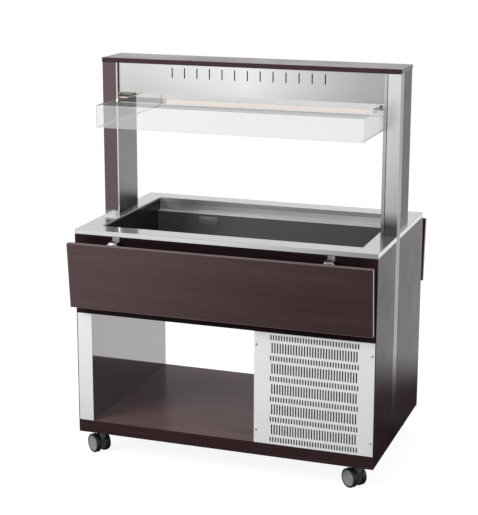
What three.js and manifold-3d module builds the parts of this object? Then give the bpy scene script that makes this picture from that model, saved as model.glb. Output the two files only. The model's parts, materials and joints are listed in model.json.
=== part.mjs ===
// Mobile salad bar: a wheeled cabinet with a sunk well, a canopy with a lamp and a clear guard over it,
// and a fold-down tray slide on each long side. Millimetres, +Z up, X along the counter, -Y the front.
// The origin lies on the ground under the middle of the counter.
import * as THREE from 'three';
import { mergeGeometries, mergeVertices } from 'three/addons/utils/BufferGeometryUtils.js';
import Module from 'manifold-3d';

const wasm = await Module();
wasm.setup();

// ---------------------------------------------------------------- driving dimensions

const GAP = 0.3; // between pieces that lie on each other
const SHEET = 1.5; // stainless sheet

const COUNTER_WIDTH = 1180;
const COUNTER_DEPTH = 740;
const COUNTER_EDGE = 19;
const COUNTER_CORNER = 4;

const CASTER_HEIGHT = 100;
const BASE_THICKNESS = 50;
const BAY_HEIGHT = 433;
const APRON_HEIGHT = 310;
const APRON_THICKNESS = 18;
const SIDE_THICKNESS = 3;
const DECK_THICKNESS = 12;
const CHAMFER = 1.2;

const COLUMN_WIDTH = 62;
const FLANGE_DEPTH = 20;
const MACHINE_WIDTH = 460;
const PARTITION_RETURN = 20;

const WELL_INSET_X = 78; // counter's end to the well
const WELL_INSET_Y = 81; // counter's long edge to the well
const WELL_DEPTH = 220;
const LEDGE_DEPTH = 50;
const LEDGE_WIDTH = 34;
const WELL_FLANGE = 20;
const INSULATION = 40;
const INSULATION_ENDS = 24;

const UPRIGHT_HEIGHT = 602;
const UPRIGHT_DEPTH = 180;
const POST_WIDTH = 48;
const POST_DEPTH = 50;
const POST_WALL = 2;
const CLADDING_WIDTH = 56;
const CLADDING_WALL = 12;
const LINER_REACH = 62;
const LINER_RETURN = 12;
const LINER_SHORT_RETURN = 6;
const PLINTH_HEIGHT = 18;

const TOP_BOARD_THICKNESS = 18;
const TOP_BOARD_OVERHANG = 2;
const FASCIA_HEIGHT = 113;
const FASCIA_SETBACK = 10;
const FASCIA_HEM = 12;
const FASCIA_SLOTS = 13;
const FASCIA_SLOT_PITCH = 50.6;
const FASCIA_SLOT_LENGTH = 39;
const FASCIA_SLOT_WIDTH = 4.5;
const FASCIA_SLOT_DROP = 31.5; // top board to the middle of the slots

const LAMP_HOUSING_WIDTH = 70;
const LAMP_HOUSING_FLOOR = 44;
const LAMP_HOUSING_HEIGHT = 70;
const LAMP_TUBE_DIAMETER = 26;
const LAMP_TUBE_LEFT = 158; // left upright's liner to the tube
const LAMP_TUBE_RIGHT = 48; // right upright's liner to the tube
const LAMP_TUBE_RISE = 24; // guard sheet to the tube's middle
const LAMP_HOLDER_THICKNESS = 12;
const LAMP_HOLDER_WIDTH = 24;
const LAMP_PIN_DIAMETER = 3;
const LAMP_PIN_LENGTH = 6;
const LAMP_PIN_SPACING = 12.7;

const GUARD_CLEARANCE = 13; // upright's liner to the guard's end
const GUARD_SETBACK = 52; // counter's long edge to the guard's
const GUARD_HEIGHT = 85;
const GUARD_WALL = 8;
const GUARD_DROP = 21; // fascia hem to the guard's sheet
const BRACKET_LENGTH = 172;
const BRACKET_REACH = 42;
const BRACKET_RISE = 20;
const BRACKET_THICKNESS = 2.2;
const GUARD_SCREW_INSET = 11;
const GUARD_SCREW_DIAMETER = 6;
const GUARD_SCREW_HEAD = 13;
const GUARD_SCREW_HEAD_HEIGHT = 3.5;
const GUARD_NUT_HEIGHT = 5;

const GRILLE_PITCH = 10.34;
const GRILLE_SLOT_WIDTH = 5;
const GRILLE_COLUMNS = 33;
const GRILLE_ROWS = 11;
const GRILLE_SHORT = 19;
const GRILLE_LONG = 39;
const GRILLE_ROW_GAP = 10.6;
const REAR_PROUD = 8;
const REAR_SLOT_LENGTH = 90;
const REAR_SLOT_PITCH = 15.5;
const REAR_SLOT_COLUMNS = 25;
const REAR_SLOT_ROWS = 2;
const REAR_ROW_PITCH = 110;
const REAR_ROWS_RISE = 130; // panel foot to the middle of the lower row
const PANEL_SCREW_EDGE = 9;
const PANEL_SCREW_END = 50;
const PANEL_SCREW_DIAMETER = 4;

const SLIDE_DEPTH = 254;
const SLIDE_THICKNESS = 18;
const SLIDE_TILT = 5; // degrees off plumb when it hangs
const SLIDE_OFFSET = 21; // hinge axis to the board's inner face
const SLIDE_TOP = 8; // hinge axis to the board's upper edge
const HINGE_OUT = 35; // cabinet face to the hinge axis
const HINGE_DROP = 26; // counter underside to the hinge axis
const HINGE_INSET = 171; // cabinet's end to a hinge's middle
const HINGE_WIDTH = 28;
const HINGE_SHEET = 2.5;
const HINGE_EYE = 11;
const HINGE_WEB_HEIGHT = 62;
const HINGE_PIN_DIAMETER = 8;
const HINGE_PIN_HEAD = 13;
const HINGE_PIN_HEAD_LENGTH = 4;
const ARM_WIDTH = 19;
const ARM_LENGTH = 190;
const ARM_DEPTH = 14;

const WHEEL_DIAMETER = 75;
const WHEEL_WIDTH = 21;
const WHEEL_SPACING = 42;
const WHEEL_HUB_DIAMETER = 62;
const WHEEL_RECESS = 1.5;
const WHEEL_FACE = 5;
const WHEEL_SIDES = 20;
const AXLE_DIAMETER = 10;
const CASTER_TRAIL = 21;
const CASTER_INSET_X = 70;
const CASTER_INSET_Y = 55;
const CASTER_TURN = 56; // degrees from X to the axle at rest
const CASTER_WEB = 14;
const CASTER_HEAD_DIAMETER = 40;
const CASTER_HEAD_HEIGHT = 12;
const STEM_DIAMETER = 11;
const STEM_LENGTH = 30;

const COMPRESSOR_DIAMETER = 165;
const COMPRESSOR_HEIGHT = 175;
const COMPRESSOR_FOOT_HEIGHT = 18;
const COMPRESSOR_FOOT_DIAMETER = 22;
const COMPRESSOR_BASE = 200;
const COMPRESSOR_BASE_THICKNESS = 3;
const COMPRESSOR_INSET_X = 135; // cabinet's right end to the compressor's middle
const COMPRESSOR_INSET_Y = 240; // cabinet's rear to the compressor's middle
const CONDENSER_WIDTH = 300;
const CONDENSER_HEIGHT = 270;
const CONDENSER_DEPTH = 60;
const CONDENSER_FINS = 26;
const CONDENSER_CORE = 12;
const CONDENSER_SETBACK = 45; // grille flange to the fins
const FAN_DIAMETER = 230;
const FAN_CLEARANCE = 6;
const FAN_SHROUD_DEPTH = 42;
const FAN_BLADES = 5;
const FAN_BLADE_THICKNESS = 2.5;
const FAN_BLADE_PITCH = 32;
const FAN_BLADE_CHORD = 60;
const FAN_HUB_DIAMETER = 60;
const FAN_HUB_LENGTH = 26;
const FAN_SHAFT_DIAMETER = 8;
const FAN_MOTOR_DIAMETER = 78;
const FAN_MOTOR_LENGTH = 62;
const FAN_SPIDER = 10;
const PORT_DIAMETER = 15;
const PORT_REACH = 8;
const PIPE_DIAMETER = 10;
const PIPE_LEAD = 150; // compressor's middle forward to the rising pipe

const DRAIN_INSET = 312; // well's right end to the drain
const DRAIN_DIAMETER = 28;
const DRAIN_REACH = 60; // outlet below the deck

const CONTROL_WIDTH = 112;
const CONTROL_HEIGHT = 44;
const CONTROL_DROP = 52; // panel top to the control's middle
const CONTROL_DEPTH = 48;
const CONTROL_BEZEL = 4;
const CONTROL_FACE = 3;
const SWITCH_WIDTH = 14;
const SWITCH_HEIGHT = 24;
const SWITCH_DEPTH = 14;
const SWITCH_ANGLE = 9;
const SWITCH_RISE = 2;
const SWITCH_OFFSET = 38;
const SWITCH_CLEARANCE = 0.6;

// ---------------------------------------------------------------- derived levels and faces

const HALF_X = COUNTER_WIDTH / 2;
const HALF_Y = COUNTER_DEPTH / 2;
const BASE_TOP = CASTER_HEIGHT + BASE_THICKNESS;
const BAY_TOP = BASE_TOP + BAY_HEIGHT;
const COUNTER_UNDER = BAY_TOP + APRON_HEIGHT;
const COUNTER_TOP = COUNTER_UNDER + COUNTER_EDGE;
const BOARD_UNDER = COUNTER_TOP + UPRIGHT_HEIGHT;
const BOARD_TOP = BOARD_UNDER + TOP_BOARD_THICKNESS;
const FASCIA_FOOT = BOARD_UNDER - FASCIA_HEIGHT;
const GUARD_TOP = FASCIA_FOOT - GUARD_DROP;
const POST_INNER = HALF_X - POST_WIDTH;
const POST_FRONT = -UPRIGHT_DEPTH / 2;
const POST_BACK = POST_FRONT + POST_DEPTH;
const LINER_FACE = HALF_X - LINER_REACH;
const GUARD_LENGTH = 2 * (LINER_FACE - GUARD_CLEARANCE);
const GUARD_BREADTH = COUNTER_DEPTH - 2 * GUARD_SETBACK;
const GUARD_SCREW_X = LINER_FACE - BRACKET_REACH + GUARD_SCREW_INSET;
const SKIN_INNER = HALF_X - SIDE_THICKNESS - GAP;
const PARTITION_X = HALF_X - MACHINE_WIDTH;
const DECK_TOP = BAY_TOP + DECK_THICKNESS;
const WELL_FLOOR = COUNTER_TOP - WELL_DEPTH;
const WHEEL_RADIUS = WHEEL_DIAMETER / 2;
const WELL_LENGTH = COUNTER_WIDTH - 2 * WELL_INSET_X;
const WELL_BREADTH = COUNTER_DEPTH - 2 * WELL_INSET_Y;
const BASIN_BREADTH = WELL_BREADTH - 2 * LEDGE_WIDTH;
const DRAIN_X = WELL_LENGTH / 2 - DRAIN_INSET;
const MACHINE_X = PARTITION_X + MACHINE_WIDTH / 2;
const COMPRESSOR_X = HALF_X - COMPRESSOR_INSET_X;
const COMPRESSOR_Y = HALF_Y - COMPRESSOR_INSET_Y;
const PIPE_X = COMPRESSOR_X;
const PIPE_Y = COMPRESSOR_Y - PIPE_LEAD;
const REAR_FACE = HALF_Y + REAR_PROUD;
const HINGE_AXIS_Y = -HALF_Y - HINGE_OUT;
const HINGE_AXIS_Z = COUNTER_UNDER - HINGE_DROP;
const HINGE_SPACING = COUNTER_WIDTH - 2 * HINGE_INSET;

// ---------------------------------------------------------------- finishes

const finish = (color, roughness, metalness, opacity = 1) => ({
  color,
  roughness,
  metalness,
  opacity,
  transparent: opacity < 1,
});
const WENGE = finish(0x4a3a3b, 0.45, 0);
const BRUSHED = finish(0xc6c8c8, 0.32, 0.9);
const POLISHED = finish(0xd6d7d7, 0.15, 0.95);
const DARK_STEEL = finish(0x60615e, 0.35, 0.8);
const ZINC = finish(0xa9aba8, 0.4, 0.8);
const WHITE_PAINT = finish(0xf0f0ee, 0.5, 0.1);
const LAMP_GLASS = finish(0xffe3cc, 0.3, 0);
const ACRYLIC = finish(0xe8eeee, 0.05, 0, 0.3);
const RUBBER = finish(0x1a1a1b, 0.8, 0);
const GREY_PLASTIC = finish(0x8c8e90, 0.5, 0);
const BLACK_PLASTIC = finish(0x202022, 0.5, 0);
const BLACK_PAINT = finish(0x151517, 0.4, 0.2);
const COPPER = finish(0xb87345, 0.35, 0.9);
const ALUMINIUM = finish(0xb4b6b2, 0.45, 0.8);
const FOAM = finish(0xe6d9a8, 0.9, 0);

// ---------------------------------------------------------------- geometry helpers

const radians = THREE.MathUtils.degToRad;

function rectangle(x0, y0, x1, y1) {
  return [[x0, y0], [x1, y0], [x1, y1], [x0, y1]];
}

function centred(width, height, x = 0, y = 0) {
  return rectangle(x - width / 2, y - height / 2, x + width / 2, y + height / 2);
}

function arc(cx, cy, radius, from, to, steps) {
  return Array.from({ length: steps + 1 }, (_, i) => {
    const angle = radians(from + ((to - from) * i) / steps);
    return [cx + radius * Math.cos(angle), cy + radius * Math.sin(angle)];
  });
}

function circle(diameter, sides, cx = 0, cy = 0) {
  return arc(cx, cy, diameter / 2, 0, 360 - 360 / sides, sides - 1);
}

function roundedRectangle(width, height, radius, steps) {
  const x = width / 2 - radius;
  const y = height / 2 - radius;
  return [
    ...arc(x, y, radius, 0, 90, steps),
    ...arc(-x, y, radius, 90, 180, steps),
    ...arc(-x, -y, radius, 180, 270, steps),
    ...arc(x, -y, radius, 270, 360, steps),
  ];
}

// Cutters that pierce a sheet lying at the given Y, one for each outline.
function punches(outlines, y) {
  return gather(...outlines.map((outline) => alongY(outline, y - 2 * SHEET, y + 2 * SHEET)));
}

function shapeOf(points, holes) {
  const shape = new THREE.Shape(points.map(([x, y]) => new THREE.Vector2(x, y)));
  shape.holes = holes.map((hole) => new THREE.Path(hole.map(([x, y]) => new THREE.Vector2(x, y))));
  return shape;
}

// A plan outline raised from z0 to z1, with its rims broken by a chamfer.
function slab(points, z0, z1, holes = [], chamfer = 0) {
  const geometry = new THREE.ExtrudeGeometry(shapeOf(points, holes), {
    depth: z1 - z0 - 2 * chamfer,
    bevelEnabled: chamfer > 0,
    bevelThickness: chamfer,
    bevelSize: chamfer,
    bevelOffset: -chamfer,
    bevelSegments: 1,
    curveSegments: 1,
  });
  return geometry.translate(0, 0, z0 + chamfer);
}

// An outline given in Y and Z, drawn out along X from x0 to x1.
function alongX(points, x0, x1, holes = [], chamfer = 0) {
  const turn = new THREE.Matrix4().makeBasis(
    new THREE.Vector3(0, 1, 0),
    new THREE.Vector3(0, 0, 1),
    new THREE.Vector3(1, 0, 0),
  );
  return slab(points, x0, x1, holes, chamfer).applyMatrix4(turn);
}

// An outline given in X and Z, drawn out along Y from y0 to y1.
function alongY(points, y0, y1, holes = [], chamfer = 0) {
  const turn = new THREE.Matrix4().makeBasis(
    new THREE.Vector3(1, 0, 0),
    new THREE.Vector3(0, 0, 1),
    new THREE.Vector3(0, -1, 0),
  );
  return slab(points, -y1, -y0, holes, chamfer).applyMatrix4(turn);
}

function block(x0, x1, y0, y1, z0, z1) {
  const box = new THREE.BoxGeometry(x1 - x0, y1 - y0, z1 - z0);
  return box.translate((x0 + x1) / 2, (y0 + y1) / 2, (z0 + z1) / 2);
}

function turned(profile, sides) {
  const geometry = new THREE.LatheGeometry(profile.map(([r, z]) => new THREE.Vector2(r, z)), sides);
  return geometry.rotateX(Math.PI / 2);
}

// The closed outline of a folded sheet: the path, and the path set off to its left by the thickness.
function folded(path, thickness) {
  const offset = path.map(([x, y], i) => {
    const before = path[Math.max(i - 1, 0)];
    const after = path[Math.min(i + 1, path.length - 1)];
    const legs = [[before, [x, y]], [[x, y], after]].filter(([a, b]) => a[0] !== b[0] || a[1] !== b[1]);
    const normals = legs.map(([a, b]) => new THREE.Vector2(a[1] - b[1], b[0] - a[0]).normalize());
    const sum = normals.reduce((total, normal) => total.add(normal.clone()), new THREE.Vector2());
    const miter = sum.clone().normalize();
    const reach = thickness / miter.dot(normals[0]);
    return [x + miter.x * reach, y + miter.y * reach];
  });
  return [...path, ...offset.reverse()];
}

function toSolid(geometry) {
  const bare = geometry.clone();
  bare.deleteAttribute('normal');
  bare.deleteAttribute('uv');
  const welded = mergeVertices(bare, 1e-4);
  return new wasm.Manifold(new wasm.Mesh({
    numProp: 3,
    vertProperties: Float32Array.from(welded.attributes.position.array),
    triVerts: Uint32Array.from(welded.index.array),
  }));
}

function toGeometry(solid) {
  const mesh = solid.getMesh();
  const geometry = new THREE.BufferGeometry();
  geometry.setAttribute('position', new THREE.BufferAttribute(Float32Array.from(mesh.vertProperties), 3));
  geometry.setIndex(new THREE.BufferAttribute(Uint32Array.from(mesh.triVerts), 1));
  geometry.computeVertexNormals();
  return geometry;
}

function join(...pieces) {
  return toGeometry(pieces.map(toSolid).reduce((sum, piece) => sum.add(piece)));
}

function cut(body, ...tools) {
  return toGeometry(tools.map(toSolid).reduce((rest, tool) => rest.subtract(tool), toSolid(body)));
}

// Several separate cutters in one geometry.
function gather(...pieces) {
  return mergeGeometries(pieces.map((piece) => {
    const bare = piece.index ? piece.toNonIndexed() : piece.clone();
    bare.deleteAttribute('normal');
    bare.deleteAttribute('uv');
    return bare;
  }));
}

function part(name, geometry, look) {
  const mesh = new THREE.Mesh(geometry, new THREE.MeshStandardMaterial(look));
  mesh.name = name;
  return mesh;
}

function group(...children) {
  return new THREE.Group().add(...children);
}

// ---------------------------------------------------------------- cabinet

// A rectangle notched where the two posts stand: at the right towards the front, at the left to the back.
function postNotched(halfX, halfY, clearance) {
  const inner = POST_INNER - clearance;
  const front = POST_FRONT - clearance;
  const back = POST_BACK + clearance;
  return [
    [-halfX, -halfY], [halfX, -halfY], [halfX, front], [inner, front], [inner, back], [halfX, back],
    [halfX, halfY], [-halfX, halfY], [-halfX, -front], [-inner, -front], [-inner, -back], [-halfX, -back],
  ];
}

function baseBoard() {
  const outline = postNotched(SKIN_INNER, HALF_Y, GAP);
  const sockets = casterPlaces().map(([, x, y]) => slab(
    circle(STEM_DIAMETER + 2 * GAP, 12, x, y), CASTER_HEIGHT - 1, CASTER_HEIGHT + STEM_LENGTH + 2 * GAP,
  ));
  return part('base_board', cut(slab(outline, CASTER_HEIGHT, BASE_TOP - GAP), ...sockets), WENGE);
}

function deckPanel() {
  const outline = postNotched(SKIN_INNER, HALF_Y - APRON_THICKNESS - GAP, GAP);
  const drain = circle(DRAIN_DIAMETER + 2 * GAP, 16, DRAIN_X);
  const line = circle(PIPE_DIAMETER + 2 * GAP, 12, PIPE_X, PIPE_Y);
  return part('deck_panel', slab(outline, BAY_TOP, DECK_TOP, [drain, line]), WENGE);
}

function leftColumn() {
  const inner = -HALF_X + COLUMN_WIDTH;
  const path = [
    [-SKIN_INNER, -HALF_Y + FLANGE_DEPTH], [-SKIN_INNER, -HALF_Y], [inner, -HALF_Y],
    [inner, HALF_Y], [-SKIN_INNER, HALF_Y], [-SKIN_INNER, HALF_Y - FLANGE_DEPTH],
  ];
  return part('left_column_shell', slab(folded(path, SHEET), BASE_TOP, BAY_TOP - GAP), POLISHED);
}

function partition() {
  const front = -HALF_Y + FLANGE_DEPTH + GAP;
  const path = [
    [PARTITION_X + PARTITION_RETURN, -front], [PARTITION_X, -front],
    [PARTITION_X, front], [PARTITION_X + PARTITION_RETURN, front],
  ];
  return part('machine_partition', slab(folded(path, SHEET), BASE_TOP, BAY_TOP - GAP), POLISHED);
}

// One side's laminate lies in two panels with the post's face between them; seam is the panel's edge there.
function sidePanel(name, side, seam, end) {
  const inner = seam + end * GAP;
  const outer = end * HALF_Y;
  const top = COUNTER_UNDER - GAP;
  const outline = rectangle(Math.min(inner, outer), CASTER_HEIGHT, Math.max(inner, outer), top);
  const x0 = side > 0 ? HALF_X - SIDE_THICKNESS : -HALF_X;
  return part(name, alongX(outline, x0, x0 + SIDE_THICKNESS), WENGE);
}

function apron(name, end) {
  const halfX = SKIN_INNER;
  const face = end * HALF_Y;
  const back = end * (HALF_Y - APRON_THICKNESS);
  const outline = rectangle(-halfX, BAY_TOP, halfX, COUNTER_UNDER - GAP);
  return part(name, alongY(outline, Math.min(face, back), Math.max(face, back), [], CHAMFER), WENGE);
}

// ---------------------------------------------------------------- ventilation panels

function slotCentres(count, pitch) {
  return Array.from({ length: count }, (_, i) => (i - (count - 1) / 2) * pitch);
}

function screwPlaces() {
  const xs = [PARTITION_X + PANEL_SCREW_EDGE, SKIN_INNER - PANEL_SCREW_EDGE];
  const zs = [BASE_TOP + PANEL_SCREW_END, BAY_TOP - PANEL_SCREW_END];
  return xs.flatMap((x) => zs.map((z) => [x, z]));
}

// A shallow sheet tray: a pierced face with a flange turned back all round.
function coverTray(face, depth, direction, openings) {
  const rim = face + direction * depth;
  const sheet = face + direction * SHEET;
  const outer = rectangle(PARTITION_X, BASE_TOP, SKIN_INNER, BAY_TOP - GAP);
  const inner = rectangle(PARTITION_X + SHEET, BASE_TOP + SHEET, SKIN_INNER - SHEET, BAY_TOP - GAP - SHEET);
  const body = alongY(outer, Math.min(face, rim), Math.max(face, rim));
  const room = alongY(inner, Math.min(sheet, rim + direction), Math.max(sheet, rim + direction));
  return cut(body, room, punches(openings, face));
}

// Rows of short slots alternate with rows of long ones, which have one slot fewer and sit half a pitch over.
function frontGrille() {
  const rowLength = (row) => (row % 2 === 0 ? GRILLE_SHORT : GRILLE_LONG);
  const lengths = Array.from({ length: GRILLE_ROWS }, (_, row) => rowLength(row));
  const field = lengths.reduce((sum, length) => sum + length, 0) + (GRILLE_ROWS - 1) * GRILLE_ROW_GAP;
  const slots = [];
  let top = (BASE_TOP + BAY_TOP + field) / 2;
  lengths.forEach((length, row) => {
    const count = GRILLE_COLUMNS - (row % 2);
    slotCentres(count, GRILLE_PITCH).forEach((x) => {
      slots.push(centred(GRILLE_SLOT_WIDTH, length, MACHINE_X + x, top - length / 2));
    });
    top -= length + GRILLE_ROW_GAP;
  });
  const screws = screwPlaces().map(([x, z]) => circle(PANEL_SCREW_DIAMETER + 2 * GAP, 8, x, z));
  const tray = coverTray(-HALF_Y, FLANGE_DEPTH, 1, [...slots, ...screws]);
  return part('front_grille', tray, BRUSHED);
}

function rearPanel() {
  const slots = [];
  for (let row = 0; row < REAR_SLOT_ROWS; row += 1) {
    const z = BASE_TOP + REAR_ROWS_RISE + row * REAR_ROW_PITCH;
    slotCentres(REAR_SLOT_COLUMNS, REAR_SLOT_PITCH).forEach((x) => {
      slots.push(centred(GRILLE_SLOT_WIDTH, REAR_SLOT_LENGTH, MACHINE_X + x, z));
    });
  }
  const screws = screwPlaces().map(([x, z]) => circle(PANEL_SCREW_DIAMETER + 2 * GAP, 8, x, z));
  const { x: controlX, z: controlZ } = controlCentre();
  const control = centred(CONTROL_WIDTH + 2 * GAP, CONTROL_HEIGHT + 2 * GAP, controlX, controlZ);
  const tray = coverTray(REAR_FACE, FLANGE_DEPTH + REAR_PROUD - GAP, -1, [...slots, ...screws, control]);
  return part('rear_service_panel', tray, BRUSHED);
}

// ---------------------------------------------------------------- counter and well

// A folded sheet: the face, an outer rim all round and a lip down into the well, hollow and open underneath.
function counterTop() {
  const opening = roundedRectangle(WELL_LENGTH, WELL_BREADTH, COUNTER_CORNER, 2);
  const lip = roundedRectangle(WELL_LENGTH + 2 * SHEET, WELL_BREADTH + 2 * SHEET, COUNTER_CORNER + SHEET, 2);
  const outline = postNotched(HALF_X, HALF_Y, GAP);
  const inside = postNotched(HALF_X - SHEET, HALF_Y - SHEET, GAP + SHEET);
  const body = slab(outline, COUNTER_UNDER, COUNTER_TOP, [opening], CHAMFER);
  const hollow = slab(inside, COUNTER_UNDER - 1, COUNTER_TOP - SHEET, [lip]);
  return part('counter_top', cut(body, hollow), BRUSHED);
}

// The well's outside and inside differ by a wall; the basin is narrower, which leaves a ledge front and back.
function wellForm(grow, floor, rim) {
  const ledge = COUNTER_TOP - LEDGE_DEPTH - grow;
  const upper = roundedRectangle(WELL_LENGTH + 2 * grow, WELL_BREADTH + 2 * grow, COUNTER_CORNER + grow, 2);
  const lower = roundedRectangle(WELL_LENGTH + 2 * grow, BASIN_BREADTH + 2 * grow, COUNTER_CORNER + grow, 2);
  return join(slab(upper, ledge, rim), slab(lower, floor - grow, ledge + 1));
}

function wellTank() {
  const rim = COUNTER_UNDER - GAP;
  const flange = slab(
    centred(WELL_LENGTH + 2 * WELL_FLANGE, WELL_BREADTH + 2 * WELL_FLANGE), rim - SHEET, rim,
  );
  const outlet = slab(
    circle(DRAIN_DIAMETER, 16, DRAIN_X), BAY_TOP - DRAIN_REACH, WELL_FLOOR - SHEET / 2,
  );
  const bore = slab(
    circle(DRAIN_DIAMETER - 2 * SHEET, 16, DRAIN_X), BAY_TOP - DRAIN_REACH - 1, WELL_FLOOR + 1,
  );
  const outside = join(wellForm(SHEET, WELL_FLOOR, rim), flange, outlet);
  return part('well_tank', cut(outside, wellForm(0, WELL_FLOOR, rim + 1), bore), DARK_STEEL);
}

function wellInsulation() {
  const top = COUNTER_UNDER - 2 * GAP - SHEET;
  const halfX = WELL_LENGTH / 2 + SHEET + INSULATION_ENDS;
  const halfY = WELL_BREADTH / 2 + SHEET + INSULATION;
  const outside = block(-halfX, halfX, -halfY, halfY, WELL_FLOOR - SHEET - INSULATION, top);
  const inside = wellForm(SHEET + GAP, WELL_FLOOR, top + 1);
  const drain = slab(
    circle(DRAIN_DIAMETER + 2 * GAP, 16, DRAIN_X), WELL_FLOOR - 2 * INSULATION, WELL_FLOOR + 1,
  );
  const line = slab(
    circle(PIPE_DIAMETER + 2 * GAP, 12, PIPE_X, PIPE_Y), WELL_FLOOR - 2 * INSULATION, pipeTop() + GAP,
  );
  return part('well_insulation', cut(outside, inside, drain, line), FOAM);
}

// ---------------------------------------------------------------- uprights and canopy

// One upright, drawn for the right side: a steel post, a laminate box behind it and a steel liner within.
function upright(prefix) {
  const foot = COUNTER_TOP + GAP;
  const head = BOARD_UNDER - GAP;
  const post = slab(
    rectangle(POST_INNER, POST_FRONT, HALF_X, POST_BACK), CASTER_HEIGHT, head,
    [rectangle(POST_INNER + POST_WALL, POST_FRONT + POST_WALL, HALF_X - POST_WALL, POST_BACK - POST_WALL)],
  );
  const x0 = HALF_X - CLADDING_WIDTH;
  const y0 = POST_BACK + GAP;
  const y1 = -POST_FRONT;
  const box = slab(
    rectangle(x0, y0, HALF_X, y1), foot + PLINTH_HEIGHT, head,
    [rectangle(x0 + CLADDING_WALL, y0 + CLADDING_WALL, HALF_X - CLADDING_WALL, y1 - CLADDING_WALL)],
  );
  const plinth = slab(rectangle(LINER_FACE, y0, HALF_X, y1), foot, foot + PLINTH_HEIGHT - GAP);
  const path = [
    [LINER_FACE + LINER_SHORT_RETURN - GAP, y1], [LINER_FACE, y1],
    [LINER_FACE, POST_FRONT], [LINER_FACE + LINER_RETURN, POST_FRONT],
  ];
  const liner = join(slab(folded(path, SHEET), foot, head), plinth);
  return [
    part(`${prefix}_post`, post, BRUSHED),
    part(`${prefix}_upright_cladding`, box, WENGE),
    part(`${prefix}_upright_liner`, liner, BRUSHED),
  ];
}

function uprights() {
  const right = group(...upright('right'));
  const left = group(...upright('left'));
  left.rotation.z = Math.PI;
  return group(right, left);
}

function topBoard() {
  const halfX = HALF_X + TOP_BOARD_OVERHANG;
  const outline = rectangle(-halfX, -UPRIGHT_DEPTH / 2, halfX, UPRIGHT_DEPTH / 2);
  return part('top_board', slab(outline, BOARD_UNDER, BOARD_TOP, [], CHAMFER), WENGE);
}

function fascia(name) {
  const half = LINER_FACE - GAP;
  const face = -UPRIGHT_DEPTH / 2 + FASCIA_SETBACK;
  const slots = slotCentres(FASCIA_SLOTS, FASCIA_SLOT_PITCH).map((x) => (
    centred(FASCIA_SLOT_WIDTH, FASCIA_SLOT_LENGTH, x, BOARD_UNDER - FASCIA_SLOT_DROP)
  ));
  const plate = block(-half, half, face, face + SHEET, FASCIA_FOOT, BOARD_UNDER - GAP);
  const hem = block(-half, half, face, face + FASCIA_HEM, FASCIA_FOOT, FASCIA_FOOT + SHEET);
  return part(name, cut(join(plate, hem), punches(slots, face)), BRUSHED);
}

function fascias() {
  const rear = group(fascia('rear_fascia'));
  rear.rotation.z = Math.PI;
  return group(fascia('front_fascia'), rear);
}

function lamp() {
  const head = BOARD_UNDER - GAP;
  const foot = head - LAMP_HOUSING_HEIGHT;
  const wide = LAMP_HOUSING_WIDTH / 2;
  const narrow = LAMP_HOUSING_FLOOR / 2;
  const half = LINER_FACE - GAP;
  const shoulder = head - LAMP_HOUSING_HEIGHT / 2;
  const path = [
    [wide, head], [wide, shoulder], [narrow, foot], [-narrow, foot], [-wide, shoulder], [-wide, head],
  ];
  const housing = alongX(folded(path, -SHEET), -half, half);
  const axis = GUARD_TOP + LAMP_TUBE_RISE;
  const x0 = LAMP_TUBE_LEFT - LINER_FACE;
  const x1 = LINER_FACE - LAMP_TUBE_RIGHT;
  const pins = [-1, 1].map((side) => alongX(
    circle(LAMP_PIN_DIAMETER, 8, side * LAMP_PIN_SPACING / 2, axis),
    x0 - LAMP_PIN_LENGTH,
    x1 + LAMP_PIN_LENGTH,
  ));
  const tube = join(alongX(circle(LAMP_TUBE_DIAMETER, 20, 0, axis), x0, x1), ...pins);
  const holders = [
    [x0 - GAP - LAMP_HOLDER_THICKNESS, x0 - GAP],
    [x1 + GAP, x1 + GAP + LAMP_HOLDER_THICKNESS],
  ];
  const round = LAMP_HOLDER_WIDTH / 2;
  const outline = [...arc(0, axis, round, 180, 360, 6), [round, foot + 1], [-round, foot + 1]];
  const bores = [-1, 1].map((side) => (
    circle(LAMP_PIN_DIAMETER + 2 * GAP, 8, side * LAMP_PIN_SPACING / 2, axis)
  ));
  const blocks = holders.map(([a, b]) => alongX(outline, a, b, bores));
  return group(
    part('lamp_housing', join(housing, ...blocks), WHITE_PAINT),
    part('lamp_tube', tube, LAMP_GLASS),
  );
}

// ---------------------------------------------------------------- guard

function guardBores(z0, z1, sides = [-1, 1]) {
  const bore = circle(GUARD_SCREW_DIAMETER + 2 * GAP, 10);
  return sides.map((side) => slab(bore, z0, z1).translate(side * GUARD_SCREW_X, 0, 0));
}

function sneezeGuard() {
  const foot = GUARD_TOP - GUARD_HEIGHT;
  const shell = slab(centred(GUARD_LENGTH, GUARD_BREADTH), foot, GUARD_TOP, [], CHAMFER);
  const room = slab(
    centred(GUARD_LENGTH - 2 * GUARD_WALL, GUARD_BREADTH - 2 * GUARD_WALL), foot - 1, GUARD_TOP - GUARD_WALL,
  );
  const bores = guardBores(GUARD_TOP - 2 * GUARD_WALL, GUARD_TOP + 1);
  return part('sneeze_guard', cut(shell, room, ...bores), ACRYLIC);
}

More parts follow.
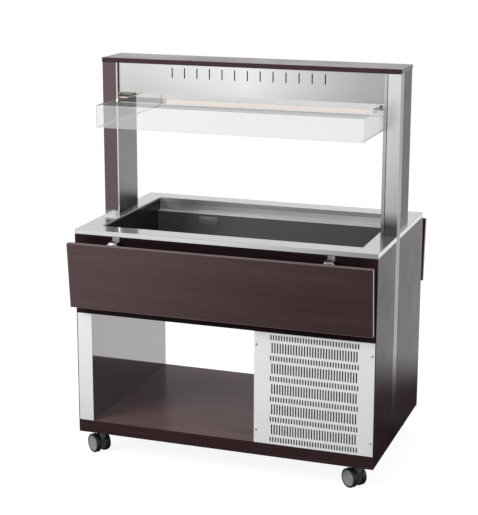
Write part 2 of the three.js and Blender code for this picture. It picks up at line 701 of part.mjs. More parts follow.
// An angle on the liner's face, drawn for the right side, with the screw that holds the guard under it.
function guardFixing(prefix) {
  const foot = GUARD_TOP + GAP;
  const wall = LINER_FACE - GAP;
  const path = [[LINER_FACE - BRACKET_REACH, foot], [wall, foot], [wall, foot + BRACKET_RISE - GAP]];
  const angle = alongY(folded(path, BRACKET_THICKNESS), -BRACKET_LENGTH / 2, BRACKET_LENGTH / 2);
  const seat = foot + BRACKET_THICKNESS + GAP;
  const under = GUARD_TOP - GUARD_WALL - GAP;
  const shank = GUARD_SCREW_DIAMETER / 2;
  const head = GUARD_SCREW_HEAD / 2;
  const screw = turned([
    [0, under - GUARD_NUT_HEIGHT], [head * 0.8, under - GUARD_NUT_HEIGHT], [head * 0.8, under],
    [shank, under], [shank, seat], [head, seat],
    [head * 0.7, seat + GUARD_SCREW_HEAD_HEIGHT], [0, seat + GUARD_SCREW_HEAD_HEIGHT],
  ], 10).translate(GUARD_SCREW_X, 0, 0);
  return [
    part(`${prefix}_guard_bracket`, cut(angle, ...guardBores(foot - 1, seat + 1, [1])), POLISHED),
    part(`${prefix}_guard_screw`, screw, POLISHED),
  ];
}

function guardFixings() {
  const left = group(...guardFixing('left'));
  left.rotation.z = Math.PI;
  return group(...guardFixing('right'), left);
}

// ---------------------------------------------------------------- tray slides

// What stays on the cabinet at one hinge: a web on the apron, two cheeks and the riveted pin between them.
function hingeBracket(x) {
  const face = -HALF_Y - GAP;
  const web = face - HINGE_SHEET;
  const top = COUNTER_UNDER - GAP;
  const plate = block(x - HINGE_WIDTH / 2, x + HINGE_WIDTH / 2, web, face, top - HINGE_WEB_HEIGHT, top);
  const root = web + HINGE_SHEET / 2;
  const cheek = [
    ...arc(HINGE_AXIS_Y, HINGE_AXIS_Z, HINGE_EYE, 100, 240, 7),
    [root, top - HINGE_WEB_HEIGHT + HINGE_SHEET], [root, HINGE_AXIS_Z + HINGE_EYE],
  ];
  const cheeks = [-1, 1].map((side) => {
    const outer = x + side * HINGE_WIDTH / 2;
    const inner = outer - side * HINGE_SHEET;
    return alongX(cheek, Math.min(outer, inner), Math.max(outer, inner));
  });
  const reach = HINGE_WIDTH / 2;
  const axis = [HINGE_AXIS_Y, HINGE_AXIS_Z];
  const shank = alongX(circle(HINGE_PIN_DIAMETER, 12, ...axis), x - reach - HINGE_PIN_HEAD_LENGTH, x + reach);
  const head = alongX(circle(HINGE_PIN_HEAD, 12, ...axis), x + reach - 1, x + reach + HINGE_PIN_HEAD_LENGTH);
  return join(plate, ...cheeks, shank, head);
}

// One arm, in the slide's own frame: the hinge axis is the origin and the board hangs plumb in front of it.
function slideArm(x) {
  const face = -SLIDE_OFFSET + GAP;
  const back = face + ARM_DEPTH;
  const foot = -ARM_LENGTH;
  const eye = HINGE_EYE - 1;
  const outline = [
    [face, 0], [face, foot], [back - ARM_DEPTH / 2, foot], [back, foot + ARM_DEPTH], [back, -eye],
    ...arc(0, 0, eye, -70, 90, 6), [face, eye],
  ];
  const bore = circle(HINGE_PIN_DIAMETER + 2 * GAP, 12);
  return alongX(outline, x - ARM_WIDTH / 2, x + ARM_WIDTH / 2, [bore]);
}

function traySlide(prefix, ends) {
  const hinges = ends.map((end, i) => [`${prefix}_${end}`, (i - 0.5) * HINGE_SPACING]);
  const outline = rectangle(
    -SLIDE_OFFSET - SLIDE_THICKNESS, SLIDE_TOP - SLIDE_DEPTH, -SLIDE_OFFSET, SLIDE_TOP,
  );
  const board = alongX(outline, -HALF_X, HALF_X, [], CHAMFER);
  const swinging = group(
    part(`${prefix}_tray_slide`, board, WENGE),
    ...hinges.map(([name, x]) => part(`${name}_slide_arm`, slideArm(x), ZINC)),
  );
  swinging.position.set(0, HINGE_AXIS_Y, HINGE_AXIS_Z);
  swinging.rotation.x = radians(SLIDE_TILT);
  return group(
    swinging,
    ...hinges.map(([name, x]) => part(`${name}_hinge_bracket`, hingeBracket(x), ZINC)),
  );
}

function traySlides() {
  const rear = group(traySlide('rear', ['right', 'left']));
  rear.rotation.z = Math.PI;
  return group(traySlide('front', ['left', 'right']), rear);
}

// ---------------------------------------------------------------- casters

// One wheel about Z, its blind bore open towards the yoke at the bottom.
function casterWheel() {
  const r = WHEEL_RADIUS;
  const hub = WHEEL_HUB_DIAMETER / 2;
  const half = WHEEL_WIDTH / 2;
  const bore = AXLE_DIAMETER / 2 + GAP;
  const face = half - WHEEL_RECESS;
  return turned([
    [0, half - WHEEL_FACE], [bore, half - WHEEL_FACE], [bore, -half], [r, -half],
    [r, face], [r - WHEEL_RECESS, half], [hub, half], [hub - WHEEL_RECESS, face], [0, face],
  ], WHEEL_SIDES);
}

function casterPlaces() {
  const x = HALF_X - CASTER_INSET_X;
  const y = HALF_Y - CASTER_INSET_Y;
  return [['front_left', -x, -y], ['front_right', x, -y], ['rear_left', -x, y], ['rear_right', x, y]];
}

// The yoke between the two wheels, with a swivel head and a stem above; local Y is the trailing direction.
function casterYoke() {
  const top = CASTER_HEIGHT - GAP;
  const head = CASTER_HEAD_DIAMETER / 2;
  const shoulder = top - CASTER_HEAD_HEIGHT;
  const web = alongX([
    [-head, shoulder + 2], [-head, shoulder - CASTER_HEAD_HEIGHT],
    ...arc(CASTER_TRAIL, WHEEL_RADIUS, AXLE_DIAMETER, 190, 350, 6),
    [CASTER_TRAIL + WHEEL_RADIUS / 2, WHEEL_RADIUS + AXLE_DIAMETER], [head, shoulder + 2],
  ], -CASTER_WEB / 2, CASTER_WEB / 2);
  const reach = WHEEL_SPACING / 2 + WHEEL_WIDTH / 2 - WHEEL_FACE - GAP;
  const axle = alongX(circle(AXLE_DIAMETER, 12, CASTER_TRAIL, WHEEL_RADIUS), -reach, reach);
  const swivel = slab(circle(CASTER_HEAD_DIAMETER, 20), shoulder, top, [], CHAMFER);
  const stem = slab(circle(STEM_DIAMETER, 12), top - 1, CASTER_HEIGHT + STEM_LENGTH);
  return join(web, axle, swivel, stem);
}

function casters() {
  return group(...casterPlaces().map(([name, x, y]) => {
    const wheels = [['outer', -1], ['inner', 1]].map(([side, sign]) => {
      const wheel = part(`${name}_${side}_wheel`, casterWheel(), RUBBER);
      wheel.rotation.y = sign * Math.PI / 2;
      wheel.position.set(sign * WHEEL_SPACING / 2, CASTER_TRAIL, WHEEL_RADIUS);
      return wheel;
    });
    const caster = group(part(`${name}_caster_yoke`, casterYoke(), GREY_PLASTIC), ...wheels);
    caster.position.set(x, y, 0);
    caster.rotation.z = radians(CASTER_TURN);
    return caster;
  }));
}

// ---------------------------------------------------------------- cooling machine

function suctionLevel() {
  return BASE_TOP + COMPRESSOR_FOOT_HEIGHT + COMPRESSOR_HEIGHT * 0.65;
}

function compressor() {
  const r = COMPRESSOR_DIAMETER / 2;
  const h = COMPRESSOR_HEIGHT;
  const foot = BASE_TOP + COMPRESSOR_FOOT_HEIGHT;
  const level = foot + COMPRESSOR_BASE_THICKNESS - 1;
  const shell = turned([
    [0, 0], [r * 0.8, 0], [r * 0.97, h * 0.12], [r * 0.97, h * 0.44], [r * 1.02, h * 0.45],
    [r * 1.02, h * 0.5], [r * 0.97, h * 0.51], [r * 0.95, h * 0.8], [r * 0.7, h * 0.95], [0, h],
  ], 20).translate(0, 0, level);
  const hollow = turned([
    [0, -COMPRESSOR_FOOT_HEIGHT], [r * 0.6, -COMPRESSOR_FOOT_HEIGHT], [r * 0.6, h * 0.75], [0, h * 0.75],
  ], 12).translate(0, 0, level);
  const half = COMPRESSOR_BASE / 2;
  const corners = roundedRectangle(COMPRESSOR_BASE, COMPRESSOR_BASE, 20, 2);
  const plate = slab(corners, foot, foot + COMPRESSOR_BASE_THICKNESS);
  const terminal = block(-r - 24, -r + 12, -24, 24, foot + h * 0.3, foot + h * 0.72);
  const inset = half - COMPRESSOR_FOOT_DIAMETER;
  const feet = [[-1, -1], [1, -1], [-1, 1], [1, 1]].map(([sx, sy]) => slab(
    circle(COMPRESSOR_FOOT_DIAMETER, 12, sx * inset, sy * inset),
    BASE_TOP,
    foot + COMPRESSOR_BASE_THICKNESS + 4,
  ));
  const port = alongY(circle(PORT_DIAMETER, 12, 0, suctionLevel()), -r - PORT_REACH, -r * 0.8);
  const body = cut(join(shell, plate, terminal, port, ...feet), hollow);
  return part('compressor', body.translate(COMPRESSOR_X, COMPRESSOR_Y, 0), BLACK_PAINT);
}

function condenserFront() {
  return -HALF_Y + FLANGE_DEPTH + CONDENSER_SETBACK;
}

// Upright fins on both faces of a core, drawn as one comb-edged outline and raised to the coil's height.
function condenser() {
  const front = condenserFront();
  const middle = front + CONDENSER_DEPTH / 2;
  const pitch = CONDENSER_WIDTH / (CONDENSER_FINS - 0.5);
  const x0 = MACHINE_X - CONDENSER_WIDTH / 2;
  const comb = (near, far, forward) => Array.from({ length: CONDENSER_FINS }, (_, i) => {
    const left = x0 + i * pitch;
    const right = left + pitch / 2;
    const tooth = [[left, near], [left, far], [right, far], [right, near]];
    return forward ? tooth : tooth.reverse();
  });
  const frontSide = comb(middle - CONDENSER_CORE / 2, front, true).flat();
  const backSide = comb(middle + CONDENSER_CORE / 2, front + CONDENSER_DEPTH, false).reverse().flat();
  const outline = [...frontSide, ...backSide];
  return part('condenser', slab(outline, BASE_TOP, BASE_TOP + CONDENSER_HEIGHT), ALUMINIUM);
}

function fanPlace() {
  const y = condenserFront() + CONDENSER_DEPTH + GAP;
  return { x: MACHINE_X, y, z: BASE_TOP + CONDENSER_HEIGHT / 2 };
}

// The square shroud with its round mouth, and the motor on a cross of spider arms behind the rotor.
function fanHousing() {
  const { x, y, z } = fanPlace();
  const back = y + FAN_SHROUD_DEPTH;
  const mouth = circle(FAN_DIAMETER + 2 * FAN_CLEARANCE, 28, x, z);
  const bottom = BASE_TOP + GAP;
  const frame = rectangle(
    x - CONDENSER_HEIGHT / 2, bottom, x + CONDENSER_HEIGHT / 2, BASE_TOP + CONDENSER_HEIGHT,
  );
  const shroud = alongY(frame, y, back, [mouth]);
  const reach = CONDENSER_HEIGHT / 2 - 4;
  const level = block(x - reach, x + reach, back - 2, back + 4, z - FAN_SPIDER / 2, z + FAN_SPIDER / 2);
  const plumb = block(x - FAN_SPIDER / 2, x + FAN_SPIDER / 2, back - 2, back + 4, z - reach, z + reach);
  const motor = alongY(circle(FAN_MOTOR_DIAMETER, 20, x, z), back - 2, back + FAN_MOTOR_LENGTH, [], CHAMFER);
  const bore = alongY(circle(FAN_SHAFT_DIAMETER + 2 * GAP, 10, x, z), back - 4, back + FAN_MOTOR_LENGTH / 2);
  return part('fan_housing', cut(join(shroud, level, plumb, motor), bore), BLACK_PLASTIC);
}

function fanRotor() {
  const { x, y, z } = fanPlace();
  const hub = alongY(circle(FAN_HUB_DIAMETER, 16), -FAN_HUB_LENGTH / 2, FAN_HUB_LENGTH / 2, [], CHAMFER);
  const length = FAN_DIAMETER / 2 - FAN_HUB_DIAMETER / 2 + 6;
  const blades = Array.from({ length: FAN_BLADES }, (_, i) => {
    const blade = new THREE.BoxGeometry(FAN_BLADE_CHORD, FAN_BLADE_THICKNESS, length, 1, 1, 1);
    blade.rotateZ(radians(FAN_BLADE_PITCH)).translate(0, 0, FAN_HUB_DIAMETER / 2 - 6 + length / 2);
    return blade.rotateY((i * 2 * Math.PI) / FAN_BLADES);
  });
  const rim = alongY(circle(FAN_DIAMETER, 28), -FAN_SHROUD_DEPTH, FAN_SHROUD_DEPTH);
  const trimmed = toGeometry(toSolid(join(hub, ...blades)).intersect(toSolid(rim)));
  const shaftEnd = FAN_SHROUD_DEPTH / 2 + 2 + FAN_MOTOR_LENGTH / 4;
  const shaft = alongY(circle(FAN_SHAFT_DIAMETER, 10), 0, shaftEnd);
  const rotor = part('fan_rotor', join(trimmed, shaft), BLACK_PLASTIC);
  rotor.position.set(x, y + FAN_SHROUD_DEPTH / 2 - 2, z);
  return rotor;
}

function pipeTop() {
  return WELL_FLOOR - SHEET - INSULATION / 2;
}

function pipe(points, sides) {
  const curve = new THREE.CurvePath();
  const bend = 2.2 * PIPE_DIAMETER;
  let start = points[0];
  for (let i = 1; i < points.length - 1; i += 1) {
    const corner = points[i];
    const into = corner.clone().sub(points[i - 1]).normalize();
    const out = points[i + 1].clone().sub(corner).normalize();
    const a = corner.clone().addScaledVector(into, -bend);
    const b = corner.clone().addScaledVector(out, bend);
    curve.add(new THREE.LineCurve3(start, a));
    curve.add(new THREE.QuadraticBezierCurve3(a, corner, b));
    start = b;
  }
  curve.add(new THREE.LineCurve3(start, points[points.length - 1]));
  const section = shapeOf(circle(PIPE_DIAMETER, sides), []);
  return new THREE.ExtrudeGeometry(section, { extrudePath: curve, steps: 28, bevelEnabled: false });
}

// The suction line comes down from the well's underside and turns in to the compressor's shell.
function suctionLine() {
  const z = suctionLevel();
  const port = COMPRESSOR_Y - COMPRESSOR_DIAMETER / 2 - PORT_REACH;
  return part('suction_line', pipe([
    new THREE.Vector3(PIPE_X, port - GAP, z),
    new THREE.Vector3(PIPE_X, PIPE_Y, z),
    new THREE.Vector3(PIPE_X, PIPE_Y, pipeTop()),
  ], 8), COPPER);
}

// ---------------------------------------------------------------- controls

function controlCentre() {
  return { x: MACHINE_X, z: BAY_TOP - CONTROL_DROP };
}

// The controller's case with its bezel outside the rear panel, a shallow display and the switch's well.
function controlUnit() {
  const { x, z } = controlCentre();
  const face = REAR_FACE + GAP;
  const body = block(
    x - CONTROL_WIDTH / 2, x + CONTROL_WIDTH / 2, REAR_FACE - CONTROL_DEPTH, face,
    z - CONTROL_HEIGHT / 2, z + CONTROL_HEIGHT / 2,
  );
  const bezel = alongY(
    centred(CONTROL_WIDTH + 2 * CONTROL_BEZEL, CONTROL_HEIGHT + 2 * CONTROL_BEZEL, x, z),
    face, face + CONTROL_FACE, [], CHAMFER / 2,
  );
  const sunk = SWITCH_DEPTH + SWITCH_CLEARANCE;
  const beside = SWITCH_WIDTH / 2 + SWITCH_CLEARANCE;
  const well = block(
    x - SWITCH_OFFSET - beside, x - SWITCH_OFFSET + beside,
    face + CONTROL_FACE - sunk, face + CONTROL_FACE + 1,
    z - SWITCH_HEIGHT / 2 - SWITCH_CLEARANCE, z + SWITCH_HEIGHT / 2 + SWITCH_CLEARANCE,
  );
  const display = block(
    x - CONTROL_WIDTH / 8, x + CONTROL_WIDTH / 2 - CONTROL_BEZEL,
    face + CONTROL_FACE - 1, face + CONTROL_FACE + 1,
    z - CONTROL_HEIGHT / 4, z + CONTROL_HEIGHT / 3,
  );
  return part('control_unit', cut(join(body, bezel), well, display), BLACK_PLASTIC);
}

// The rocker turns about X in the middle of its well, with one half pressed in at rest.
function switchRocker() {
  const { x, z } = controlCentre();
  const half = SWITCH_HEIGHT / 2 - SWITCH_CLEARANCE;
  const crest = SWITCH_DEPTH / 2;
  const edge = crest - Math.tan(radians(SWITCH_ANGLE)) * half;
  const foot = -crest / 2;
  const outline = [
    [edge, -half], [crest, 0], [edge, half], [0, half * 0.8], [foot, half * 0.4], [foot, -half * 0.4],
    [0, -half * 0.8],
  ];
  const rocker = part('switch_rocker', alongX(outline, -SWITCH_WIDTH / 2, SWITCH_WIDTH / 2), GREY_PLASTIC);
  rocker.position.set(x - SWITCH_OFFSET, REAR_FACE + GAP + CONTROL_FACE + SWITCH_RISE - crest, z);
  rocker.rotation.x = radians(SWITCH_ANGLE);
  return rocker;
}

// ---------------------------------------------------------------- assembly

const saladBar = group(
  baseBoard(),
  deckPanel(),
  leftColumn(),
  partition(),
  sidePanel('left_side_panel_front', -1, -POST_BACK, -1),
  sidePanel('left_side_panel_rear', -1, -POST_FRONT, 1),
  sidePanel('right_side_panel_front', 1, POST_FRONT, -1),
  sidePanel('right_side_panel_rear', 1, POST_BACK, 1),
  apron('front_apron', -1),
  apron('rear_apron', 1),
  frontGrille(),
  rearPanel(),
  counterTop(),
  wellTank(),
  wellInsulation(),
  uprights(),
  topBoard(),
  fascias(),
  lamp(),
  sneezeGuard(),
  guardFixings(),
  traySlides(),
  casters(),
  compressor(),
  condenser(),
  fanHousing(),
  fanRotor(),
  suctionLine(),
  controlUnit(),
  switchRocker(),
);

export default saladBar;
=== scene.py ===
import json
import math
from functools import partialmethod

import bmesh
import bpy
from mathutils import Matrix, Vector


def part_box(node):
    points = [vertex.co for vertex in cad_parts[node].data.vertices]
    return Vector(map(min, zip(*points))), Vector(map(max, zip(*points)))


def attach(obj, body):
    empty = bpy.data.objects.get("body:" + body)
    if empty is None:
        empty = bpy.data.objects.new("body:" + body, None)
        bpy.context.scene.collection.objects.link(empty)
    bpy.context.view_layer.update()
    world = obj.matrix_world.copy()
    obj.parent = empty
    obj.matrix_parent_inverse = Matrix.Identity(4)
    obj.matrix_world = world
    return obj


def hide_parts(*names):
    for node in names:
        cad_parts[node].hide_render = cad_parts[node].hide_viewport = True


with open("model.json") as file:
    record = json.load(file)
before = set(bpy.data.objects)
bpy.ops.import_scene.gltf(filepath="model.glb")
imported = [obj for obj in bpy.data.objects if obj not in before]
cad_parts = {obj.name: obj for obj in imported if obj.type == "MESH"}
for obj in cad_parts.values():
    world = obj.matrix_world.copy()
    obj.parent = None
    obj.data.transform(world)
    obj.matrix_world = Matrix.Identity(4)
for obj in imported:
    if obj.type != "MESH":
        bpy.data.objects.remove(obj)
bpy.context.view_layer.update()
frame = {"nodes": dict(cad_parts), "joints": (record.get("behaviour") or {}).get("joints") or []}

bl_info = {
    "name": "Mobile salad bar looks",
    "version": (1, 0, 0),
    "blender": (4, 5, 0),
    "location": "3D View > Sidebar > Salad bar",
    "description": "Finishes, fittings and studio for a wheeled salad bar",
    "category": "Object",
}

MM = 0.001
NODES = frame["nodes"]
JOINTS = {joint["name"]: joint for joint in frame["joints"]}

HALF_X, HALF_Y, COUNTER_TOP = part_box("counter_top")[1]
BASE_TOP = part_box("front_grille")[0].z
BAY_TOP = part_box("deck_panel")[0].z
GUARD_LO, GUARD_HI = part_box("sneeze_guard")
HINGE_Y = -JOINTS["front_slide_hinge"]["pos_m"][1]
HINGE_Z = JOINTS["front_slide_hinge"]["pos_m"][2]
LINER_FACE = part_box("right_upright_liner")[0].x
FASCIA_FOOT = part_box("front_fascia")[0].z
WELL_LEDGE = COUNTER_TOP - 50 * MM
WELL_END = HALF_X - 78 * MM
WELL_SIDE = HALF_Y - 115 * MM
DRAIN = (200 * MM, 0, 692.2 * MM)
SLIDE_TILT = math.radians(5)
SLIDE_DEPTH = 254 * MM
SLIDE_MIDDLE = 8 * MM - SLIDE_DEPTH / 2
FACE = 0.4 * MM  # a finish that is meant for one face reaches this far below it
ACRYLIC_IOR = 1.49

SLIDE_NODES = ("front_tray_slide", "rear_tray_slide")
SIDE_NODES = [f"{side}_side_panel_{end}" for side in ("left", "right") for end in ("front", "rear")]
CORNERS = [f"{end}_{side}" for end in ("front", "rear") for side in ("left", "right")]


# ---------------------------------------------------------------- settings

COLOUR = {"subtype": "COLOR", "size": 3, "min": 0, "max": 1}
FACTOR = {"subtype": "FACTOR", "min": 0, "max": 1}


class LaminateSettings(bpy.types.PropertyGroup):
    colour: bpy.props.FloatVectorProperty(
        name="Colour", description="Dark of the wenge laminate", default=(0.0245, 0.0125, 0.0133), **COLOUR)
    pore_colour: bpy.props.FloatVectorProperty(
        name="Pore colour", description="Colour between the darker pores", default=(0.049, 0.0270, 0.0280), **COLOUR)
    edge_colour: bpy.props.FloatVectorProperty(
        name="Edge band colour", description="Colour of the glued edge bands", default=(0.150, 0.108, 0.108), **COLOUR)
    sheen: bpy.props.FloatVectorProperty(
        name="Sheen", description="Tint of the reflection on the laminate", default=(1.0, 0.74, 0.75, 1.0),
        **{**COLOUR, "size": 4})
    gloss: bpy.props.FloatProperty(
        name="Roughness", description="Roughness of the laminate's face", default=0.22, **FACTOR)


class SteelSettings(bpy.types.PropertyGroup):
    colour: bpy.props.FloatVectorProperty(
        name="Colour", description="Colour of the stainless sheet", default=(0.60, 0.60, 0.592), **COLOUR)
    well_colour: bpy.props.FloatVectorProperty(
        name="Well colour", description="Colour of the pressed well", default=(0.66, 0.665, 0.655), **COLOUR)
    # Painted shade of the well's walls below the ledge.
    painted_well_shade: bpy.props.FloatVectorProperty(
        name="Well shade", description="Colour of the well below its ledge", default=(0.125, 0.128, 0.122), **COLOUR)
    # A painted tone for the ledge, between the walls above and their painted shade below.
    ledge_colour: bpy.props.FloatVectorProperty(
        name="Ledge colour", description="Colour of the ledge that carries the pans",
        default=(0.42, 0.42, 0.415), **COLOUR)
    brushed: bpy.props.FloatProperty(
        name="Brushed roughness", description="Roughness of brushed faces", default=0.30, **FACTOR)
    polished: bpy.props.FloatProperty(
        name="Polished roughness", description="Roughness of mirror faces", default=0.05, **FACTOR)


class GuardSettings(bpy.types.PropertyGroup):
    tint: bpy.props.FloatVectorProperty(
        name="Tint", description="Tint of the clear acrylic", default=(0.545, 0.55, 0.55), **COLOUR)
    wall: bpy.props.FloatProperty(
        name="Wall", description="Thickness of the guard's walls", default=8 * MM, unit="LENGTH")
    # How much the outer walls cover, an even grey that stands for their reflection: a painted reflection.
    painted_reflection_cover: bpy.props.FloatProperty(
        name="Painted reflection cover", description="Cover of an outer face seen from outside", default=0.42, **FACTOR)
    edge: bpy.props.FloatProperty(
        name="Edge", description="Cover where the walls are seen through their edge", default=0.5, **FACTOR)


class LampSettings(bpy.types.PropertyGroup):
    colour: bpy.props.FloatVectorProperty(
        name="Light colour", description="Colour of the lit tube", default=(1.0, 0.80, 0.64), **COLOUR)
    strength: bpy.props.FloatProperty(
        name="Strength", description="Strength of the lit tube", min=0, max=20, default=1.1)


class CasterSettings(bpy.types.PropertyGroup):
    width: bpy.props.FloatProperty(
        name="Wheel width", description="Width of one wheel", default=21 * MM, unit="LENGTH")
    disc: bpy.props.FloatProperty(
        name="Disc diameter", description="Diameter of the grey face", default=61 * MM, unit="LENGTH")


class ScrewSettings(bpy.types.PropertyGroup):
    head: bpy.props.FloatProperty(
        name="Head diameter", description="Diameter of a panel screw's head", default=7.6 * MM, unit="LENGTH")
    height: bpy.props.FloatProperty(
        name="Head height", description="Height of a panel screw's head", default=2.2 * MM, unit="LENGTH")


class StudioSettings(bpy.types.PropertyGroup):
    lens: bpy.props.FloatProperty(
        name="Lens", description="Focal length over a 36 mm sensor", default=98.67, min=10, max=300)
    position: bpy.props.FloatVectorProperty(
        name="Camera position", description="Place of the camera", size=3, subtype="TRANSLATION", unit="LENGTH",
        default=(1.72122, -5.07834, 2.11398))
    yaw: bpy.props.FloatProperty(
        name="Yaw", description="Turn of the view from +Y towards +X", default=-0.33733, subtype="ANGLE")
    pitch: bpy.props.FloatProperty(
        name="Pitch", description="Tilt of the view above level", default=-0.23278, subtype="ANGLE")
    roll: bpy.props.FloatProperty(
        name="Roll", description="Turn of the view about its own axis", default=0.00215, subtype="ANGLE")
    shift: bpy.props.FloatProperty(
        name="Vertical shift", description="Shift of the frame against the lens", default=-0.0388)


SETTINGS = {
    "laminate": LaminateSettings,
    "steel": SteelSettings,
    "guard": GuardSettings,
    "lamp": LampSettings,
    "caster": CasterSettings,
    "screw": ScrewSettings,
    "studio": StudioSettings,
}


def setting(context, name):
    return getattr(context.scene, "salad_bar_" + name)


# ---------------------------------------------------------------- shader tools

def node(tree, kind, place=(0, 0), **values):
    made = tree.nodes.new(kind)
    made.location = place
    for key, value in values.items():
        setattr(made, key, value)
    return made


def feed(tree, value, socket):
    """Links a socket or a node's first output, or sets a constant."""
    if isinstance(value, bpy.types.Node):
        value = value.outputs[0]
    if isinstance(value, bpy.types.NodeSocket):
        tree.links.new(value, socket)
    else:
        socket.default_value = value


def maths(tree, operation, *values, place=(-600, -200), clamp=False):
    made = node(tree, "ShaderNodeMath", place, operation=operation, use_clamp=clamp)
    for value, socket in zip(values, made.inputs):
        feed(tree, value, socket)
    return made.outputs[0]


def wired(tree, kind, place, sockets, **values):
    """A node whose named inputs are fed at once."""
    made = node(tree, kind, place, **values)
    for key, value in sockets.items():
        feed(tree, value, made.inputs[key])
    return made


def rgba(colour):
    """A socket as it is, and a colour with its fourth value."""
    return colour if isinstance(colour, bpy.types.NodeSocket) else (*colour[:3], 1)


def effect(name, inputs, outputs):
    """An empty shader node group with named sockets, its input sockets and its output node."""
    tree = bpy.data.node_groups.new(name, "ShaderNodeTree")
    for label, kind, default in inputs:
        socket = tree.interface.new_socket(name=label, in_out="INPUT", socket_type=kind)
        if default is not None:
            socket.default_value = default
    for label in outputs:
        tree.interface.new_socket(name=label, in_out="OUTPUT", socket_type="NodeSocketFloat")
    return tree, node(tree, "NodeGroupInput", (-900, 0)).outputs, node(tree, "NodeGroupOutput", (700, 0))


def grain_effect():
    """Long soft streaks along one direction: brushing on steel, figure in laminate."""
    name = "Grain"
    if name in bpy.data.node_groups:
        return bpy.data.node_groups[name]
    tree, given, out = effect(
        name,
        [("Vector", "NodeSocketVector", None), ("Scale", "NodeSocketVector", (1, 1, 1)),
         ("Detail", "NodeSocketFloat", 6.0), ("Contrast", "NodeSocketFloat", 1.0)],
        ["Streak"])
    stretch = wired(tree, "ShaderNodeVectorMath", (-700, 0), {0: given["Vector"], 1: given["Scale"]},
                    operation="MULTIPLY")
    noise = wired(tree, "ShaderNodeTexNoise", (-480, 0), {
        "Vector": stretch, "Scale": 1.0, "Detail": given["Detail"], "Roughness": 0.6})
    centred = maths(tree, "SUBTRACT", noise, 0.5, place=(-200, 0))
    widened = maths(tree, "MULTIPLY", centred, given["Contrast"], place=(0, 0))
    feed(tree, maths(tree, "ADD", widened, 0.5, place=(200, 0), clamp=True), out.inputs["Streak"])
    return tree


def handling_effect():
    """Cloudy handling marks that shift the roughness a little."""
    name = "Handling marks"
    if name in bpy.data.node_groups:
        return bpy.data.node_groups[name]
    tree, given, out = effect(
        name,
        [("Vector", "NodeSocketVector", None), ("Size", "NodeSocketFloat", 6.0),
         ("Low", "NodeSocketFloat", 0.2), ("High", "NodeSocketFloat", 0.3)],
        ["Roughness"])
    noise = wired(tree, "ShaderNodeTexNoise", (-480, 0), {
        "Vector": given["Vector"], "Scale": given["Size"], "Detail": 4.0})
    spread = wired(tree, "ShaderNodeMapRange", (0, 0), {
        "Value": noise, "From Min": 0.35, "From Max": 0.65, "To Min": given["Low"], "To Max": given["High"]})
    feed(tree, spread, out.inputs["Roughness"])
    return tree


class Finish:
    """One material with its Principled shader and object coordinates at hand."""

    def __init__(self, name, colour, roughness, metallic=0.0, marks=None, **sockets):
        self.material = bpy.data.materials.new(name)
        self.material.use_nodes = True
        self.material.diffuse_color = rgba(colour)
        self.tree = self.material.node_tree
        self.shader = self.tree.nodes["Principled BSDF"]
        self.place = node(self.tree, "ShaderNodeTexCoord", (-1300, 0)).outputs["Object"]
        for key, value in {"Base_Color": rgba(colour), "Roughness": roughness, "Metallic": metallic, **sockets}.items():
            self.drive(key.replace("_", " "), value)
        if marks:
            self.marks(*marks)

    def drive(self, key, value):
        """Feeds a socket of the Principled shader."""
        feed(self.tree, value, self.shader.inputs[key])

    def group(self, tree, place, **values):
        """An effect on the object's own coordinates."""
        return wired(self.tree, "ShaderNodeGroup", place, {"Vector": self.place, **values}, node_tree=tree)

    def mix(self, factor, first, second, place=(-400, 200)):
        """A colour mix; first and second are sockets or colours."""
        sockets = {0: factor, 6: rgba(first), 7: rgba(second)}
        return wired(self.tree, "ShaderNodeMix", place, sockets, data_type="RGBA").outputs[2]

    def maths(self, operation, *values, **options):
        return maths(self.tree, operation, *values, **options)

    # One node each: the first two make masks, over and under a limit.
    over = partialmethod(maths, "GREATER_THAN")
    under = partialmethod(maths, "LESS_THAN")
    size = partialmethod(maths, "ABSOLUTE")
    times = partialmethod(maths, "MULTIPLY")
    plus = partialmethod(maths, "ADD")
    less = partialmethod(maths, "SUBTRACT")
    most = partialmethod(maths, "MAXIMUM")

    def beyond(self, value, limit):
        """A mask of both sides that lie further out than the limit."""
        return self.over(self.size(value), limit)

    def within(self, value, limit):
        return self.under(self.size(value), limit)

    def axes(self):
        return wired(self.tree, "ShaderNodeSeparateXYZ", (-1100, -300), {0: self.place}).outputs

    def tint(self, mask, colour):
        """Lays a colour, or the present one times a number, over what the mask covers."""
        socket = self.shader.inputs["Base Color"]
        before = socket.links[0].from_socket if socket.links else tuple(socket.default_value)
        if isinstance(colour, float):
            sockets = {0: 1.0, 6: rgba(before), 7: (colour, colour, colour, 1)}
            colour = wired(self.tree, "ShaderNodeMix", (-300, 500), sockets, data_type="RGBA",
                           blend_type="MULTIPLY", clamp_result=False).outputs[2]
        self.drive("Base Color", self.mix(mask, before, colour, (-200, 300)))

    def bump(self, height, strength, distance):
        self.drive("Normal", wired(self.tree, "ShaderNodeBump", (-250, -400), {
            "Strength": strength, "Distance": distance, "Height": height}))

    def roughness(self):
        """What feeds the roughness at present."""
        return self.shader.inputs["Roughness"].links[0].from_socket

    def marks(self, size, low, high):
        self.drive("Roughness", self.group(handling_effect(), (-900, -100), Size=size, Low=low, High=high))


def scaled(colour, shade):
    return tuple(shade * value for value in colour)


def stretched(axis, along, across):
    """A pattern's repeats in a metre, with its own number along one axis."""
    return tuple(along if letter == axis else across for letter in "XYZ")


def fading(look, value, end, span):
    """A mask that is full up to a span before the end, and gone there."""
    return look.maths("DIVIDE", look.less(end, value), span, clamp=True)


